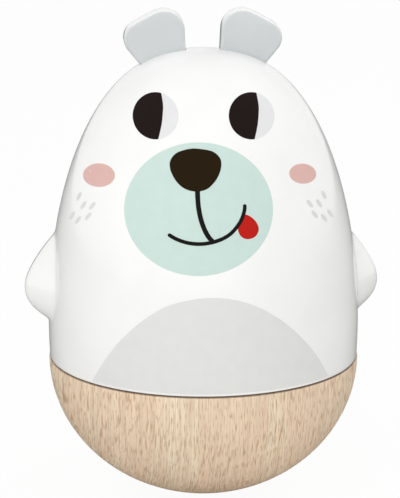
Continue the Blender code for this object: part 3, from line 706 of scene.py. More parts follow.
def zinc_plate(name, tint):
    """Zinc-plated steel: blotchy crystals of slightly different brightness."""
    finish = Finish(name)
    wander = finish.noise(finish.even(1.6), 3.0) * 0.9
    place = finish.node("ShaderNodeVectorMath", {"operation": "ADD"}, {0: finish.even(2.2), 1: wander})
    cells = finish.node("ShaderNodeTexVoronoi", {}, {"Vector": place, "Scale": 1.0}, "Color")
    crystal = finish.node("ShaderNodeSeparateColor", {}, {"Color": cells})
    skin = finish.noise(finish.even(0.25), 2.0)
    base = finish.mix(crystal, shade(tint, 0.80), shade(tint, 1.10))
    rough = 0.36 + crystal * 0.16 + (skin - 0.5) * 0.08
    relief = finish.bump(skin, 0.008, 0.3)
    return finish.close(Base_Color=base, Roughness=rough, Metallic=1.0, Normal=relief)


def turned_brass(name, tint):
    """Turned brass: fine rings from the lathe and a little tarnish."""
    finish = Finish(name)
    rings = finish.noise(finish.stretched(8.0, 8.0, 0.06), 1.0)
    tarnish = finish.ease(finish.noise(finish.even(1.8), 3.0), 0.42, 0.72)
    base = finish.mix(tarnish, tint, shade(tint, 0.68))
    rough = 0.26 + (rings - 0.5) * 0.18 + tarnish * 0.14
    skin = finish.bump(rings, 0.006, 0.4)
    return finish.close(Base_Color=base, Roughness=rough, Metallic=1.0, Normal=skin)


def made(name, make, *tints):
    """A material by name, made in some of the toy's colours the first time it is asked for."""
    colours = bpy.context.scene.toy_colours
    return bpy.data.materials.get(name) or make(name, *(getattr(colours, tint) for tint in tints))


def spot(node):
    """Where a packed solid stands: the middle of its box, seen from above."""
    low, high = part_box(node)
    return ((low.x + high.x) / 2.0, (low.y + high.y) / 2.0)


def spots(family, count):
    """Where the solids of a numbered family stand."""
    return [spot(f"{family}_{number}") for number in range(1, count + 1)]


def screw_holes(obj, low, high, *families):
    """Drills a piece for the screws that go through it or into it."""
    works = bpy.context.scene.toy_works
    places = [place for family in families for place in spots(family, SCREWS[family])]
    combine(obj, "DIFFERENCE", drills(works.shank + works.fit, low, high, places))


class TOY_OT_wooden_base(bpy.types.Operator):
    """Turns the beech base and hollows it for the counterweight and the chime"""

    bl_idname = "toy.wooden_base"
    bl_label = "Wooden Base"

    def execute(self, context):
        base = context.scene.toy_base
        depth = base.height / math.sqrt(1.0 - (base.foot / base.rim) ** 2)
        first = math.acos(base.rim_round / depth)
        last = math.asin(base.foot / base.rim)
        section = [(0.0, base.pocket_floor), (base.pocket, base.pocket_floor), (base.pocket, base.step)]
        section += [(base.cavity, base.step), (base.cavity, base.height)]
        for step in range(7):
            at = math.pi / 2.0 * (1.0 - step / 7.0)
            radius = base.rim + base.rim_round * (math.cos(at) - 1.0)
            section.append((radius, base.height + base.rim_round * (math.sin(at) - 1.0)))
        for step in range(73):
            at = first + (last - first) * step / 72.0
            section.append((base.rim * math.sin(at), base.height - depth * math.cos(at)))
        section.append((0.0, 0.0))
        obj = turn("base_turned", section, 192)
        for family in ("ring_screw", "plate_screw"):
            low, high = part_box(f"{family}_1")
            screw_holes(obj, low.z - context.scene.toy_works.fit, high.z, family)
        smooth(obj, 32.0)
        settle(obj, made("waxed beech", beech, *BEECH), "toy", "beech", "wooden_base")
        return {"FINISHED"}


def body_radius(body, z, inset=0.0):
    """Radius of the body at a height, drawn in by the inset."""
    if z <= body.widest:
        drop = (body.widest - z) / (body.widest - body.foot)
        return body.radius - body.tuck * drop * drop - inset
    rise = (z - body.widest) / (body.crown - body.widest - inset)
    return (body.radius - inset) * max(0.0, 1.0 - rise * rise) ** (1.0 / body.side_power)


def arm_lift(body, y, z, rear):
    """How far an arm stands out at a depth and a height: a flat slope before its ridge, round behind it."""
    rise = z - body.arm_height
    if rise >= 0.0:
        share, power = rise / body.arm_above, body.arm_upper
    else:
        share, power = -rise / body.arm_below, body.arm_lower
    if share >= 1.0:
        return 0.0
    reach = body.arm_reach * (1.0 - share**power)
    behind = y - body.arm_setback - body.arm_lean * rise
    round_off = math.sqrt(1.0 - share * share)
    if behind > 0.0:
        across = behind / ((rear - body.arm_spread * rise) * round_off)
        return reach * math.sqrt(max(0.0, 1.0 - across * across))
    slope = body.arm_front * ((1.0 - share) ** body.arm_root if rise >= 0.0 else round_off)
    return reach * max(0.0, 1.0 + behind / slope)


def blended_lift(body, y, z, rear):
    """The arm's lift averaged over a small patch, which rounds the arm off and fillets it into the body."""
    margin = body.arm_blend + max(body.arm_front, rear) + body.arm_spread * body.arm_above
    if abs(y - body.arm_setback) > margin:
        return 0.0
    if not -body.arm_blend - body.arm_below < z - body.arm_height < body.arm_blend + body.arm_above:
        return 0.0
    lifts = [arm_lift(body, y, z, rear)]
    for share, count in ((0.5, 6), (1.0, 12)):
        for step in range(count):
            at, away = math.tau * step / count, body.arm_blend * share
            lifts.append(arm_lift(body, y + away * math.cos(at), z + away * math.sin(at), rear))
    return sum(lifts) / len(lifts)


def swell_arms(obj, body):
    """Moves the sides of the body outwards where the arms are."""
    for vert in obj.data.vertices:
        swing = -vert.co.x * math.sin(body.arm_turn)
        depth = vert.co.y * math.cos(body.arm_turn) + swing
        height = vert.co.z + vert.co.x * math.tan(body.arm_tilt)
        lift = blended_lift(body, depth, height, body.arm_rear + swing)
        if lift > 0.0:
            vert.co += Vector((vert.co.x, vert.co.y, 0.0)).normalized() * lift


def body_section(body):
    """The body's wall as a section: up the outside to the crown and down the inside."""
    low = body_radius(body, body.foot)
    section = []
    for step in range(6):
        at = math.pi / 2.0 * step / 6.0
        radius = low + body.edge * (math.sin(at) - 1.0)
        section.append((radius, body.foot + body.edge * (1.0 - math.cos(at))))
    straight = body.foot + body.edge
    levels = [straight + (body.widest - straight) * step / 12.0 for step in range(13)]
    for step in range(1, 110):
        at = math.pi / 2.0 * (step / 110.0) ** 1.15
        levels.append(body.widest + (body.crown - body.widest) * math.sin(at))
    section += [(body_radius(body, z), z) for z in levels]
    section.append((0.0, body.crown))
    section.append((0.0, body.crown - body.wall))
    for step in range(35, 0, -1):
        at = math.pi / 2.0 * (step / 36.0) ** 1.2
        z = body.widest + (body.crown - body.wall - body.widest) * math.sin(at)
        section.append((body_radius(body, z, body.wall), z))
    section.append((body_radius(body, body.widest, body.wall), body.widest))
    groove, half = body.groove, body.groove_width / 2.0
    for rise, deep in ((half, 0.0), (half - groove, groove), (groove - half, groove), (-half, 0.0)):
        z = body.groove_height + rise
        section.append((body_radius(body, z, body.wall) + deep, z))
    section.append((low - body.wall, body.foot + body.lead))
    section.append((low - body.wall + body.lead, body.foot))
    return section


def ear_outline(ears, grow=0.0, foot=True):
    """The left ear's outline, with the foot that the head holds it by."""

    def inner(z):
        return ears.tip_x - ears.inner_slope * (ears.tip_z - z) - grow

    def outer(z):
        return ears.corner_x - ears.outer_slope * (ears.corner_z - z) + grow

    neck = ears.neck_z
    tip = Vector((inner(ears.tip_z), ears.tip_z))
    corner = Vector((outer(ears.corner_z), ears.corner_z))
    swell = (tip + corner) / 2.0 + (corner - tip).orthogonal().normalized() * ears.swell
    corners = [(inner(neck), neck, 0.0), (*tip, ears.tip_round), (*swell, ears.swell_round)]
    corners += [(*corner, ears.corner_round), (outer(neck), neck, 0.0)]
    if foot:
        low = neck - ears.foot_height
        corners += [(outer(neck) + ears.foot_margin, neck, 0.0), (outer(neck) + ears.foot_margin, low, 0.0)]
        corners += [(inner(neck) - ears.foot_margin, low, 0.0), (inner(neck) - ears.foot_margin, neck, 0.0)]
    return rounded(corners, 24)


def lugs(body, radius, near, far):
    """Four round bars along Y against the side walls, for the bosses, the pegs or their sockets."""
    bars = []
    for z in (body.peg_low, body.peg_high):
        for hand in (-1.0, 1.0):
            x = hand * (body_radius(body, z, body.wall) - 0.75 * body.boss)
            place = (x, (near + far) / 2.0, z)
            bars.append(bar(radius, abs(far - near), place, (math.pi / 2.0, 0.0, 0.0)))
    return joined(bars)


class TOY_OT_body(bpy.types.Operator):
    """Turns the two halves of the white body, swells the arms out of its sides and notches it for the ears"""

    bl_idname = "toy.body"
    bl_label = "Body Halves"

    def execute(self, context):
        body = context.scene.toy_body
        ears = context.scene.toy_ears
        finish = made("white lacquer", lacquer, "white")
        halves = {"body_front": ("front_shell", math.pi), "body_rear": ("rear_shell", -math.pi)}
        for name, (node, sweep) in halves.items():
            obj = turn(name, body_section(body), 216, sweep)
            swell_arms(obj, body)
            back = 1.0 if name == "body_rear" else -1.0
            combine(obj, "UNION", lugs(body, body.boss, CLEAR * back, body.boss_length * back))
            if name == "body_front":
                combine(obj, "UNION", lugs(body, body.peg, -body.peg_length, body.peg_length))
            else:
                fit = body.peg_fit
                combine(obj, "DIFFERENCE", lugs(body, body.peg + fit, -fit, body.peg_length + fit))
                outline = ear_outline(ears, CLEAR, foot=False)
                notch = slab("notch", outline, -EAR_HIGH.y, EAR_HIGH.y + CLEAR)
                other = copy_of(notch, "other_notch", MIRROR)
                combine(obj, "DIFFERENCE", notch)
                combine(obj, "DIFFERENCE", other)
            smooth(obj, 40.0)
            settle(obj, finish, "toy", "white_body", node)
        return {"FINISHED"}


class TOY_OT_ears(bpy.types.Operator):
    """Cuts the flat ears and rounds their edges"""

    bl_idname = "toy.ears"
    bl_label = "Ears"

    def execute(self, context):
        ears = context.scene.toy_ears
        # The body's white is the paler colour of the ears' painted highlight.
        finish = made("grey lacquer", lacquer_with_painted_highlight, "grey", "white")
        left = slab("ear_left", ear_outline(ears), EAR_LOW.y, EAR_HIGH.y)

        def rim(edge):
            return abs(edge.verts[0].co.y - edge.verts[1].co.y) < WELD

        bevel(left, ears.edge, 6, rim)
        smooth(left, 35.0)
        # Painted highlight: each point is marked by how far it faces up, and higher up the sides by how far
        # it faces out and forwards, where light falls.
        worn = left.data.attributes.new("worn", "FLOAT", "POINT")
        for vert in left.data.vertices:
            face = vert.normal
            high = (vert.co.z - ears.neck_z - ears.highlight_low) / ears.highlight_rise
            high = min(max(high, 0.0), 1.0)
            side = ears.highlight_outer * face.x if face.x > 0.0 else -ears.highlight_inner * face.x
            worn.data[vert.index].value = max(face.z, -side * face.y * high, 0.0)
        right = copy_of(left, "ear_right", MIRROR)
        settle(left, finish, "toy", "grey_ears", "left_ear")
        settle(right, finish, "toy", "grey_ears", "right_ear")
        return {"FINISHED"}


def ellipse(across, up, half_across, half_up, lean=0.0, count=72):
    """An ellipse of the artwork, in millimetres, its long side leaning by some degrees."""
    cosine, sine = math.cos(math.radians(lean)), math.sin(math.radians(lean))
    points = []
    for step in range(count):
        x = half_across * math.cos(math.tau * step / count)
        z = half_up * math.sin(math.tau * step / count)
        points.append((across + x * cosine - z * sine, up + x * sine + z * cosine))
    return points


def through(points, closed=False, steps=8):
    """A smooth curve through points of the artwork."""
    count = len(points)
    curve = []
    for index in range(count if closed else count - 1):
        around = range(index - 1, index + 3)
        near = [points[k % count if closed else min(max(k, 0), count - 1)] for k in around]
        for step in range(steps):
            t = step / steps
            weights = (
                -0.5 * t + t * t - 0.5 * t**3,
                1.0 - 2.5 * t * t + 1.5 * t**3,
                0.5 * t + 2.0 * t * t - 1.5 * t**3,
                -0.5 * t * t + 0.5 * t**3,
            )
            curve.append(tuple(sum(w * q[axis] for w, q in zip(weights, near)) for axis in (0, 1)))
    if not closed:
        curve.append(points[-1])
    return curve


def stroke(points, start, end):
    """A line of the artwork with round ends, its width going from one value to another."""
    path = through(points)
    left, right = [], []
    for index, (x, z) in enumerate(path):
        before, after = path[max(index - 1, 0)], path[min(index + 1, len(path) - 1)]
        run = math.atan2(after[1] - before[1], after[0] - before[0])
        half = (start + (end - start) * index / (len(path) - 1)) / 2.0
        left.append((x - half * math.sin(run), z + half * math.cos(run)))
        right.append((x + half * math.sin(run), z - half * math.cos(run)))
        if index == 0:
            first = run
    caps = []
    for (x, z), way, half in ((path[-1], run, end / 2.0), (path[0], first + math.pi, start / 2.0)):
        angles = [way + math.pi / 2.0 - math.pi * step / 9.0 for step in range(1, 9)]
        caps.append([(x + half * math.cos(at), z + half * math.sin(at)) for at in angles])
    return left + caps[0] + right[::-1] + caps[1]


# The artwork, in millimetres on its own plane: across to the toy's left, then up from its origin.
EYE_HALF = (6.79, 7.17)
EYES = {"right": (-14.07, 39.24, -0.048, 0.10), "left": (14.27, 39.24, 0.026, -0.08)}
EYE_EDGE = [(1.53, 6.97), (2.13, 3.15), (2.08, 0.45), (1.73, -2.95), (0.82, -7.12)]
NOSE = [(-2.1, 29.2), (2.0, 28.6), (3.95, 27.5), (5.03, 26.0), (5.24, 24.5), (4.98, 22.85), (4.28, 21.0)]
NOSE += [(3.02, 19.12), (1.28, 17.5), (-0.85, 16.72), (-2.75, 16.7), (-4.9, 17.27), (-6.62, 18.35)]
NOSE += [(-8.22, 20.2), (-9.35, 22.4), (-9.75, 24.3), (-9.58, 25.7), (-8.85, 26.98), (-7.55, 28.07)]
NOSE += [(-5.6, 28.78), (-3.9, 29.14)]
STEM = [(-1.65, 17.3), (-1.65, 15.4), (-1.36, 11.9), (-0.71, 8.7), (0.27, 5.8), (1.53, 3.5), (2.6, 2.3)]
SMILE = [(-9.8, 4.01), (-8.2, 3.06), (-5.9, 2.14), (-3.55, 1.6), (-0.95, 1.43), (1.4, 1.65), (3.7, 2.22)]
SMILE += [(6.0, 3.15), (8.05, 4.52), (9.75, 6.4), (10.95, 8.27), (11.7, 10.2), (12.0, 11.6), (12.04, 12.5)]
TONGUE = [(12.2, 10.0), (13.72, 9.42), (15.2, 8.1), (16.07, 6.4), (15.97, 4.96), (14.97, 3.49), (13.0, 2.85)]
TONGUE += [(11.32, 3.36), (10.31, 4.7), (10.1, 6.2), (10.8, 8.05), (11.4, 9.25)]
BELLY = [(-34.1, -41.0), (-33.34, -39.6), (-31.1, -35.8), (-26.7, -29.57), (-21.8, -24.4), (-17.05, -20.5)]
BELLY += [(-12.3, -17.5), (-7.65, -15.72), (-1.8, -14.54), (3.4, -14.22), (8.6, -14.74), (13.3, -15.94)]
BELLY += [(18.0, -17.92), (22.8, -20.86), (27.7, -24.83), (32.06, -29.5), (35.3, -33.9), (37.6, -38.0)]
BELLY += [(38.4, -39.5)]
FRECKLES = [(-37.3, 15.8, 62), (-35.8, 13.1, 54), (-33.0, 12.8, 48), (-39.5, 10.1, 54), (-34.3, 9.7, 49)]
FRECKLES += [(-37.5, 8.7, 52), (36.1, 16.2, 117), (31.6, 13.4, 130), (34.5, 13.6, 125), (38.1, 10.7, 127)]
FRECKLES += [(33.1, 10.3, 129), (36.1, 9.3, 128)]
FRECKLE_HALF = (1.42, 0.58)
MUZZLE = (-1.4, 11.6, 21.78, 19.44)
CHEEKS = {"right": (-31.06, 21.95, 5.04, 3.51, -6.0), "left": (29.5, 22.32, 4.18, 2.98, 1.5)}
SMILE_WIDTH = (1.1, 1.06)
STEM_WIDTH = (1.42, 1.36)


def eye(across, up, slant, nudge, dark=False):
    """An eye: an ellipse that slants a little, or only its dark, the left of it up to a bulging edge."""
    edge = [(x + nudge, z) for x, z in EYE_EDGE]
    first, last = 0.0, math.tau
    if dark:
        ends = [math.atan2(z / EYE_HALF[1], (x - slant * z) / EYE_HALF[0]) for x, z in (edge[0], edge[-1])]
        first, last = ends[0], ends[1] + math.tau
    points = []
    for step in range(96):
        at = first + (last - first) * step / 96.0
        x, z = EYE_HALF[0] * math.cos(at), EYE_HALF[1] * math.sin(at)
        points.append((x + slant * z, z))
    if dark:
        points += through(edge[::-1])[:-1]
    return [(across + x, up + z) for x, z in points]


def belly_patch(body, face):
    """The belly down to just above the body's lower edge."""
    low = body.foot + face.margin
    radius = body_radius(body, low)

    def edge(across):
        y = -math.sqrt(radius * radius - (across * MM) ** 2)
        return (y * math.sin(face.tilt) + (low - face.centre) * math.cos(face.tilt)) / MM

    arch = [point for point in through(BELLY) if point[1] > edge(point[0]) + 0.05]
    bottom = []
    for step in range(49):
        across = arch[-1][0] + (arch[0][0] - arch[-1][0]) * step / 48.0
        bottom.append((across, edge(across)))
    return arch + bottom


def press(name, outlines, layers, face):
    """Inks outlines of the artwork: filled, cut into small squares, pressed on and given thickness."""
    flats = []
    for outline in outlines:
        flat = ring(name, [(x * MM, 0.0, z * MM) for x, z in outline])
        edit(flat)
        bpy.ops.mesh.edge_face_add()
        for axis in (0, 2):
            values = [point[axis // 2] * MM for point in outline]
            for line in range(math.ceil(min(values) / face.cell), math.floor(max(values) / face.cell) + 1):
                at, way = Vector(), Vector()
                at[axis], way[axis] = line * face.cell, 1.0
                bpy.ops.mesh.select_all(action="SELECT")
                bpy.ops.mesh.bisect(plane_co=at, plane_no=way)
        bpy.ops.mesh.select_all(action="SELECT")
        bpy.ops.mesh.normals_make_consistent(inside=False)
        done()
        if sum(polygon.normal.y * polygon.area for polygon in flat.data.polygons) > 0.0:
            edit(flat)
            bpy.ops.mesh.flip_normals()
            done()
        flats.append(flat)
    obj = named(merged(flats), name)
    obj.rotation_euler = (-face.tilt, 0.0, face.turn)
    obj.location = Vector((0.0, 0.0, face.centre)) - obj.rotation_euler.to_matrix().col[1] * face.away
    wrap = obj.modifiers.new("Press", "SHRINKWRAP")
    wrap.wrap_method = "PROJECT"
    wrap.use_project_x = wrap.use_project_z = False
    wrap.use_project_y = True
    wrap.use_positive_direction = True
    wrap.target = bpy.data.objects["body_front"]
    bpy.ops.object.modifier_apply(modifier=wrap.name)
    bpy.ops.object.transform_apply(location=True, rotation=True, scale=True)
    thick = obj.modifiers.new("Ink", "SOLIDIFY")
    thick.thickness = face.ink * layers
    thick.offset = 1.0
    bpy.ops.object.modifier_apply(modifier=thick.name)
    smooth(obj, 30.0)
    return obj


class TOY_OT_print(bpy.types.Operator):
    """Presses the printed face, freckles and belly onto the front of the body, one ink after another"""

    bl_idname = "toy.print"
    bl_label = "Printed Face"

    def execute(self, context):
        face = context.scene.toy_print
        body = context.scene.toy_body
        freckles = [ellipse(x, z, *FRECKLE_HALF, lean, 28) for x, z, lean in FRECKLES]
        work = {
            "print_belly": ([belly_patch(body, face)], 1.0, "belly"),
            "print_muzzle": ([ellipse(*MUZZLE, count=144)], 1.0, "muzzle"),
            "print_cheek_right": ([ellipse(*CHEEKS["right"])], 1.0, "cheek"),
            "print_cheek_left": ([ellipse(*CHEEKS["left"])], 1.0, "cheek"),
            "print_freckles": (freckles, 1.0, "freckle"),
            "print_eyes_pale": ([eye(*place) for place in EYES.values()], 1.0, "eye_pale"),
            "print_eyes_dark": ([eye(*place, dark=True) for place in EYES.values()], 2.0, "eye"),
            "print_tongue": ([through(TONGUE, closed=True)], 2.0, "tongue"),
            "print_smile": ([stroke(SMILE, *SMILE_WIDTH)], 3.0, "line"),
            "print_stem": ([stroke(STEM, *STEM_WIDTH)], 3.2, "line"),
            "print_nose": ([through(NOSE, closed=True, steps=4)], 3.4, "nose"),
        }
        for name, (outlines, layers, tint) in work.items():
            obj = press(name, outlines, layers, face)
            settle(obj, made(f"{tint} ink".replace("_", " "), ink, tint), "toy", "white_body")
        return {"FINISHED"}


def eased(section, rounding):
    """A section with its corners broken: each corner becomes two points a little way along its sides."""
    points = []
    for index, (radius, z) in enumerate(section):
        corner = Vector((radius, z))
        sides = [Vector(section[index - 1]) - corner, Vector(section[(index + 1) % len(section)]) - corner]
        if radius == 0.0:
            points.append((radius, z))
            continue
        for side in sides:
            points.append(tuple(corner + side.normalized() * min(rounding, side.length / 3.0)))
    return points


class TOY_OT_counterweight(bpy.types.Operator):
    """Casts the counterweight, with a ring pressed into its top"""

    bl_idname = "toy.counterweight"
    bl_label = "Counterweight"

    def execute(self, context):
        low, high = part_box("counterweight")
        radius, edge = high.x, 0.8 * MM
        top = ((0.0, edge), (0.30, edge), (0.33, 0.0), (0.70, 0.0), (0.72, edge), (0.78, edge), (0.80, 0.0))
        section = [(share * radius, high.z - sunk) for share, sunk in top]
        section += [(radius - edge, high.z), (radius, high.z - edge)]
        section += [(radius, low.z + edge), (radius - edge, low.z), (0.0, low.z)]
        obj = turn("weight_cast", eased(section, 0.25 * MM), 96)
        smooth(obj, 50.0)
        settle(obj, made("cast iron", cast_iron, "iron"), "toy", "iron", "counterweight")
        return {"FINISHED"}


class TOY_OT_coupling_ring(bpy.types.Operator):
    """Turns the coupling ring with its snap bead and drills its flange"""

    bl_idname = "toy.coupling_ring"
    bl_label = "Coupling Ring"

    def execute(self, context):
        works = context.scene.toy_works
        low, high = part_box("coupling_ring")
        bead, half = context.scene.toy_body.groove_height, works.bead_width / 2.0
        spigot, bore, top = works.spigot, works.spigot - works.spigot_wall, low.z + works.flange
        section = [(bore, high.z), (spigot - works.bead, high.z), (spigot, high.z - 2.0 * works.bead)]
        for step in range(9):
            at = math.pi * (step / 8.0 - 0.5)
            section.append((spigot + works.bead * math.cos(at), bead - half * math.sin(at)))
        section += [(spigot, low.z), (works.flange_bore, low.z), (works.flange_bore, top), (bore, top)]
        obj = turn("ring_moulded", eased(section, 0.2 * MM), 144)
        screw_holes(obj, low.z - works.fit, top + works.fit, "ring_screw")
        smooth(obj, 40.0)
        settle(obj, made("ivory plastic", plastic, "ivory"), "toy", "ivory_plastic", "coupling_ring")
        return {"FINISHED"}


class TOY_OT_screws(bpy.types.Operator):
    """Turns a domed screw of each length, cuts its cross recess and copies it to every place"""

    bl_idname = "toy.screws"
    bl_label = "Screws"

    def execute(self, context):
        works = context.scene.toy_works
        finish = made("drawn steel", drawn_steel, "steel")
        for family, count in SCREWS.items():
            low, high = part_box(f"{family}_1")
            head, seat = (high.x - low.x) / 2.0, high.z - works.screw_head
            section = []
            for step in range(13):
                at = math.pi / 2.0 * step / 12.0
                section.append((head * math.sin(at), seat + works.screw_head * math.cos(at)))
            section += [(0.97 * head, seat), (works.shank, seat)]
            root, point = 0.72 * works.shank, low.z + 1.6 * works.shank
            z = seat - works.neck
            while z - works.pitch > point:
                section += [(works.shank, z), (root, z - 0.35 * works.pitch), (root, z - 0.60 * works.pitch)]
                z -= works.pitch
            section += [(works.shank, z), (0.0, low.z)]
            first = turn(f"{family}_turned_1", section, 32)
            recess = (1.15 * head, 0.24 * head, 1.2 * works.screw_head)
            for quarter in (0.0, math.pi / 2.0):
                combine(first, "DIFFERENCE", block(recess, high.z, quarter))
            smooth(first, 40.0)
            for number in range(count, 0, -1):
                node = f"{family}_{number}"
                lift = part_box(node)[1].z - high.z
                place = Matrix.Translation((*spot(node), lift)) @ Matrix.Rotation(0.7 * number, 4, "Z")
                if number == 1:
                    first.data.transform(place)
                    obj = first
                else:
                    obj = copy_of(first, f"{family}_turned_{number}", place)
                settle(obj, finish, "toy", "steel", node)
        return {"FINISHED"}


class TOY_OT_chime_plate(bpy.types.Operator):
    """Turns the chime plate with the ridge that the rods stand in, and drills it"""

    bl_idname = "toy.chime_plate"
    bl_label = "Chime Plate"

    def execute(self, context):
        works = context.scene.toy_works
        low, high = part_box("chime_plate")
        top = low.z + works.plate
        circle = Vector(spot("chime_rod_1")).length
        section = [(0.0, top), (circle - works.ridge, top), (circle - works.ridge + works.draft, high.z)]
        section += [(circle + works.ridge - works.draft, high.z), (circle + works.ridge, top)]
        section += [(high.x, top), (high.x, low.z), (0.0, low.z)]
        obj = turn("plate_turned", eased(section, 0.35 * MM), 144)
        rod_low, rod_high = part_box("chime_rod_1")
        seat = (rod_high.x - rod_low.x) / 2.0 + works.fit
        seats = drills(seat, rod_low.z - works.fit, high.z + works.plate, spots("chime_rod", RODS))
        combine(obj, "DIFFERENCE", seats)
        screw_holes(obj, low.z - works.plate, high.z, "plate_screw", "bridge_screw")
        smooth(obj, 40.0)
        settle(obj, made("zinc plate", zinc_plate, "zinc"), "toy", "zinc", "chime_plate")
        return {"FINISHED"}


class TOY_OT_chime_rods(bpy.types.Operator):
    """Turns one chime rod and copies it, each copy cut to its own length"""

    bl_idname = "toy.chime_rods"
    bl_label = "Chime Rods"

    def execute(self, context):
        finish = made("drawn steel", drawn_steel, "steel")
        low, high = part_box("chime_rod_1")
        radius, edge = (high.x - low.x) / 2.0, 0.3 * MM
        section = [(0.0, high.z), (radius - edge, high.z), (radius, high.z - edge)]
        section += [(radius, low.z + edge), (radius - edge, low.z), (0.0, low.z)]
        first = turn("rod_turned_1", section, 40)
        smooth(first, 30.0)
        for number in range(RODS, 0, -1):
            node = f"chime_rod_{number}"
            place = Matrix.Translation((*spot(node), 0.0))
            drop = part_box(node)[1].z - high.z
            obj = first if number == 1 else copy_of(first, f"rod_turned_{number}", Matrix.Identity(4))
            if drop < 0.0:
                edit(obj)
                choose(obj, "VERT", lambda vert: vert.co.z > (low.z + high.z) / 2.0)
                bpy.ops.transform.translate(value=(0.0, 0.0, drop))
                done()
            obj.data.transform(place)
            settle(obj, finish, "toy", "steel", node)
        return {"FINISHED"}


class TOY_OT_bridge(bpy.types.Operator):
    """Bends the bridge from a strip, eases its edges and drills it for its screws and the bush"""

    bl_idname = "toy.bridge"
    bl_label = "Chime Bridge"

    def execute(self, context):
        works = context.scene.toy_works
        low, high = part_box("chime_bridge")
        inside, outside = works.bend, works.bend + works.strip
        end, leg, outer = high.y, works.leg, works.leg + works.strip
        foot, under = low.z + works.strip, high.z - works.strip
        corners = [(-end, low.z, 0.0), (-leg, low.z, outside), (-leg, under, inside), (leg, under, inside)]
        corners += [(leg, low.z, outside), (end, low.z, 0.0), (end, foot, 0.0), (outer, foot, inside)]
        corners += [(outer, high.z, outside), (-outer, high.z, outside), (-outer, foot, inside)]
        corners.append((-end, foot, 0.0))
        obj = slab("bridge_bent", rounded(corners, 10), low.x, high.x)
        obj.data.transform(Matrix.Rotation(math.pi / 2.0, 4, "Z"))

        def side(edge):
            return abs(edge.verts[0].co.x - edge.verts[1].co.x) < WELD

        bevel(obj, 0.25 * MM, 2, side)
        screw_holes(obj, low.z - works.strip, foot + works.strip, "bridge_screw")
        middle = drills(works.bush + works.fit, under - works.strip, high.z + works.strip, [(0.0, 0.0)], 64)
        combine(obj, "DIFFERENCE", middle)
        smooth(obj, 35.0)
        settle(obj, made("zinc plate", zinc_plate, "zinc"), "toy", "zinc", "chime_bridge")
        return {"FINISHED"}


def sideways(height):
    """The move that lays an upright turned piece along X at a height."""
    return Matrix.Translation((0.0, 0.0, height)) @ Matrix.Rotation(math.pi / 2.0, 4, "Y")


class TOY_OT_swivel(bpy.types.Operator):
    """Turns the bush, the forked stud, its spring clip and the pin"""

    bl_idname = "toy.swivel"
    bl_label = "Swivel"

    def execute(self, context):
        works = context.scene.toy_works
        brass = made("turned brass", turned_brass, "brass")
        steel = made("drawn steel", drawn_steel, "steel")
        low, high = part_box("swivel_bush")
        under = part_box("chime_bridge")[1].z - works.strip - works.fit
        bore = works.stud + works.fit
        section = [(bore, high.z), (works.bush, high.z), (works.bush, under)]
        section += [(high.x, under), (high.x, low.z), (bore, low.z)]
        bush = turn("bush_turned", eased(section, 0.2 * MM), 64)
        smooth(bush, 40.0)
        settle(bush, brass, "toy", "brass", "swivel_bush")

        low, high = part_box("swivel_stud")
        clip_low, clip_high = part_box("swivel_clip")
        pin_low, pin_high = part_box("hammer_pin")
        pin_z, side = (pin_low.z + pin_high.z) / 2.0, high.x
        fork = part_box("swivel_bush")[0].z - works.fit
        stud = named(block((2.0 * side, 2.0 * side, fork - low.z), (low.z + fork) / 2.0), "stud_forked")
        bevel(stud, 0.7 * MM, 4, lambda edge: abs(edge.verts[0].co.z - edge.verts[1].co.z) > WELD)
        bevel(stud, 0.3 * MM, 2, lambda edge: abs(edge.calc_face_angle(0.0)) > 1.0)
        core, edge = works.stud - works.groove, works.groove / 2.0
        section = [(0.0, high.z), (works.stud - edge, high.z), (works.stud, high.z - edge)]
        section += [(works.stud, clip_high.z + works.fit), (core, clip_high.z + works.fit)]
        section += [(core, clip_low.z - edge / 2.0), (works.stud, clip_low.z - edge / 2.0)]
        section += [(works.stud, fork - works.eye / 2.0), (0.0, fork - works.eye / 2.0)]
        combine(stud, "UNION", turn("stud_shaft", section, 48))
        deep = pin_z + works.eye + works.play - low.z
        combine(stud, "DIFFERENCE", block((works.slot, 4.0 * side, 2.0 * deep), low.z))
        cutter = bar(works.pin + works.fit, 4.0 * side, (0.0, 0.0, pin_z), (0.0, math.pi / 2.0, 0.0))
        combine(stud, "DIFFERENCE", joined([cutter]))
        smooth(stud, 35.0)
        settle(stud, brass, "swivel", "brass", "swivel_stud")

        radius = max(-clip_low.x, -clip_low.y, clip_high.y)
        section = [(core + works.fit, clip_low.z), (radius, clip_low.z)]
        section += [(radius, clip_high.z), (core + works.fit, clip_high.z)]
        clip = turn("clip_sprung", eased(section, 0.12 * MM), 72, works.mouth - math.tau)
        clip.data.transform(Matrix.Rotation(works.mouth / 2.0, 4, "Z"))
        smooth(clip, 40.0)
        settle(clip, steel, "swivel", "steel", "swivel_clip")

        half, head = side + works.fit, pin_high.z - pin_z
        crown, shoulder = 0.55 * head, 0.86 * head
        section = [(0.0, pin_high.x), (crown, pin_high.x), (shoulder, 0.5 * (pin_high.x + half))]
        section += [(head, half), (works.pin, half), (works.pin, -half), (head, -half)]
        section += [(shoulder, 0.5 * (pin_low.x - half)), (crown, pin_low.x), (0.0, pin_low.x)]
        pin = turn("pin_riveted", section, 40)
        pin.data.transform(sideways(pin_z))
        smooth(pin, 40.0)
        settle(pin, steel, "swivel", "steel", "hammer_pin")
        return {"FINISHED"}


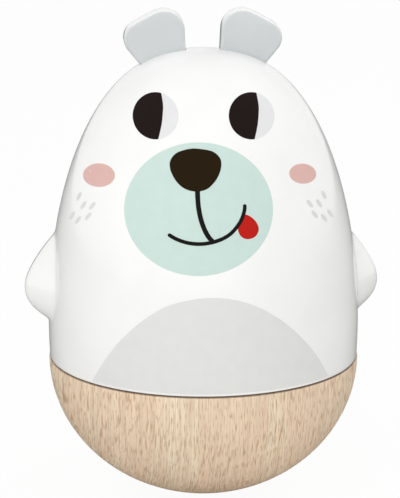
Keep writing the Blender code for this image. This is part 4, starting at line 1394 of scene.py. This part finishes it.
class TOY_OT_hammer(bpy.types.Operator):
    """Makes the hammer: a rod with an eye, a turned wooden head and the nut below it"""

    bl_idname = "toy.hammer"
    bl_label = "Hammer"

    def execute(self, context):
        works = context.scene.toy_works
        pin_low, pin_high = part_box("hammer_pin")
        rod_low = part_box("hammer_rod")[0]
        head_low, head_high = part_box("hammer_head")
        nut_low, nut_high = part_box("hammer_nut")
        pin_z = (pin_low.z + pin_high.z) / 2.0
        half = works.slot / 2.0 - works.play
        bore = works.pin + works.fit
        section = [(bore, -half), (works.eye, -half), (works.eye, half), (bore, half)]
        rod = turn("hammer_rod_forged", eased(section, 0.4 * MM), 64)
        rod.data.transform(sideways(pin_z))
        start, edge = pin_z - (works.eye + bore) / 2.0, 0.3 * MM
        collar = head_high.z + works.fit
        top = collar + 0.8 * MM
        section = [(0.0, start), (works.rod, start), (works.rod, top)]
        section += [(0.9 * works.collar, top), (works.collar, top - 0.2 * MM)]
        section += [(works.collar, collar), (works.rod, collar), (works.rod, rod_low.z + edge)]
        section += [(works.rod - edge, rod_low.z), (0.0, rod_low.z)]
        combine(rod, "UNION", turn("hammer_shank", section, 40))
        smooth(rod, 40.0)
        settle(rod, made("drawn steel", drawn_steel, "steel"), "hammer", "steel", "hammer_rod")

        middle = (head_low.z + head_high.z) / 2.0
        radius = math.hypot(works.flat, (head_high.z - head_low.z) / 2.0)
        first = math.asin(works.flat / radius)
        hole = works.rod + works.fit
        section = [(hole, head_low.z), (hole, head_high.z)]
        for step in range(41):
            at = first + (math.pi - 2.0 * first) * step / 40.0
            cut = 0.25 * MM if step in (19, 21) else 0.0
            section.append(((radius - cut) * math.sin(at), middle + (radius - cut) * math.cos(at)))
        head = turn("hammer_head_turned", section, 72)
        smooth(head, 40.0)
        settle(head, made("waxed beech", beech, *BEECH), "hammer", "beech", "hammer_head")

        tall, radius = nut_high.z - nut_low.z, max(nut_high.x, nut_high.y)
        nut = joined([bar(radius, tall, (0.0, 0.0, (nut_low.z + nut_high.z) / 2.0), sides=6)])
        named(nut, "hammer_nut_hex")
        if nut_high.x > nut_high.y:
            nut.data.transform(Matrix.Rotation(math.pi / 6.0, 4, "Z"))
        bevel(nut, 0.25 * MM, 2, lambda edge: True)
        combine(nut, "DIFFERENCE", drills(hole, nut_low.z - tall, nut_high.z + tall, [(0.0, 0.0)]))
        smooth(nut, 35.0)
        settle(nut, made("turned brass", turned_brass, "brass"), "hammer", "brass", "hammer_nut")
        return {"FINISHED"}


# Degrees round and above the toy that each lamp shines from.
LAMPS = {"key": (-15.0, 40.0), "right": (125.0, 40.0), "left": (-60.0, 62.0)}


def lamp(studio, name, side, rise):
    """A soft lamp that neither the camera nor the lacquer sees."""
    aim = Vector((0.0, 0.0, studio.lamp_aim))
    around, above = math.radians(side), math.radians(rise)
    flat = Vector((math.sin(around), -math.cos(around), 0.0)) * math.cos(above)
    place = aim + studio.lamp_distance * (flat + Vector((0.0, 0.0, math.sin(above))))
    deselect()
    bpy.ops.object.light_add(type="AREA", location=place)
    obj = named(bpy.context.object, name)
    obj.data.shape = "RECTANGLE"
    obj.data.size = studio.lamp_width
    obj.data.size_y = studio.lamp_height
    obj.data.energy = getattr(studio, name)
    obj.rotation_euler = (aim - place).to_track_quat("-Z", "Y").to_euler()
    obj.visible_camera = False
    obj.visible_glossy = False


def floor_paint(studio):
    """Pale paint that the camera sees nearly white, with the toy's shadow, and the lacquer mirrors dark."""
    finish = Finish("studio floor")
    mottle = finish.noise(finish.even(400.0), 1.0)
    tint = finish.mix(mottle, shade(studio.floor, 0.99), studio.floor)
    paint = finish.node("ShaderNodeBsdfDiffuse", {}, {"Color": tint})
    glow = finish.light("ShaderNodeEmission", 1.0)
    surface = finish.blend(finish.seen() * studio.glow, paint, glow)
    mirrored = finish.node("ShaderNodeLightPath", {}, {}, "Is Glossy Ray")
    surface = finish.blend(mirrored, surface, finish.light("ShaderNodeEmission", studio.gloom))
    finish.node("ShaderNodeOutputMaterial", {}, {"Surface": surface})
    return finish.material


def studio_sky(studio):
    """Light from pale walls and a dimmer ceiling, which the camera sees as plain white."""
    world = bpy.data.worlds.new("studio sky")
    world.use_nodes = True
    world.node_tree.nodes.clear()
    sky = Wire(world.node_tree)
    walls = sky.light("ShaderNodeBackground", studio.walls)
    ceiling = sky.light("ShaderNodeBackground", studio.ceiling)
    towards = sky.node("ShaderNodeTexCoord", {}, {}, "Generated")
    room = sky.blend(sky.ease(sky.height(towards), 0.1, 0.7), walls, ceiling)
    both = sky.blend(sky.seen(), room, sky.light("ShaderNodeBackground", 1.0))
    sky.node("ShaderNodeOutputWorld", {}, {"Surface": both})
    return world


class TOY_OT_studio(bpy.types.Operator):
    """Lays the floor, hangs the lamps and sets the camera at the photograph's angle"""

    bl_idname = "toy.studio"
    bl_label = "Studio"

    def execute(self, context):
        studio = context.scene.toy_studio
        deselect()
        bpy.ops.mesh.primitive_circle_add(
            vertices=128, radius=studio.floor_radius, fill_type="NGON", location=(0.0, 0.0, -CLEAR)
        )
        floor = context.object
        floor.name = "floor"
        bpy.ops.object.transform_apply(location=True)
        floor.data.materials.append(floor_paint(studio))
        context.scene.world = studio_sky(studio)
        for name, (side, rise) in LAMPS.items():
            lamp(studio, name, side, rise)
        level = Vector((0.0, -math.cos(studio.elevation), math.sin(studio.elevation)))
        away = Matrix.Rotation(studio.azimuth, 3, "Z") @ level
        deselect()
        bpy.ops.object.camera_add(location=Vector((0.0, 0.0, studio.target)) + away * studio.distance)
        camera = context.object
        camera.name = "camera"
        camera.rotation_euler = away.to_track_quat("Z", "Y").to_euler()
        camera.data.lens = studio.lens
        camera.data.shift_x = studio.shift
        camera.data.clip_start = 10.0 * MM
        context.scene.camera = camera
        context.scene.view_settings.view_transform = "Standard"
        return {"FINISHED"}


class TOY_PT_panel(bpy.types.Panel):
    """Lists the toy's sizes, its colours and its steps in order"""

    bl_idname = "TOY_PT_panel"
    bl_label = "Roly-Poly Bear"
    bl_space_type = "VIEW_3D"
    bl_region_type = "UI"
    bl_category = "Roly-Poly"

    def draw(self, context):
        for step in STEPS:
            self.layout.operator(step.bl_idname)
        for name, group in GROUPS.items():
            box = self.layout.box()
            box.label(text=group.__doc__)
            for key in group.__annotations__:
                box.prop(getattr(context.scene, name), key)


STEPS = (
    TOY_OT_wooden_base,
    TOY_OT_counterweight,
    TOY_OT_coupling_ring,
    TOY_OT_chime_plate,
    TOY_OT_chime_rods,
    TOY_OT_bridge,
    TOY_OT_swivel,
    TOY_OT_hammer,
    TOY_OT_screws,
    TOY_OT_body,
    TOY_OT_ears,
    TOY_OT_print,
    TOY_OT_studio,
)
GROUPS = {
    "toy_body": ToyBody,
    "toy_base": ToyBase,
    "toy_ears": ToyEars,
    "toy_works": ToyWorks,
    "toy_print": ToyPrint,
    "toy_colours": ToyColours,
    "toy_studio": ToyStudio,
}


def register():
    for name, group in GROUPS.items():
        bpy.utils.register_class(group)
        setattr(bpy.types.Scene, name, PointerProperty(type=group))
    for step in STEPS:
        bpy.utils.register_class(step)
    bpy.utils.register_class(TOY_PT_panel)


def unregister():
    bpy.utils.unregister_class(TOY_PT_panel)
    for step in reversed(STEPS):
        bpy.utils.unregister_class(step)
    for name, group in GROUPS.items():
        delattr(bpy.types.Scene, name)
        bpy.utils.unregister_class(group)


def main():
    register()
    bpy.ops.toy.wooden_base()
    bpy.ops.toy.counterweight()
    bpy.ops.toy.coupling_ring()
    bpy.ops.toy.chime_plate()
    bpy.ops.toy.chime_rods()
    bpy.ops.toy.bridge()
    bpy.ops.toy.swivel()
    bpy.ops.toy.hammer()
    bpy.ops.toy.screws()
    bpy.ops.toy.body()
    bpy.ops.toy.ears()
    bpy.ops.toy.print()
    bpy.ops.toy.studio()


if __name__ == "__main__":
    main()
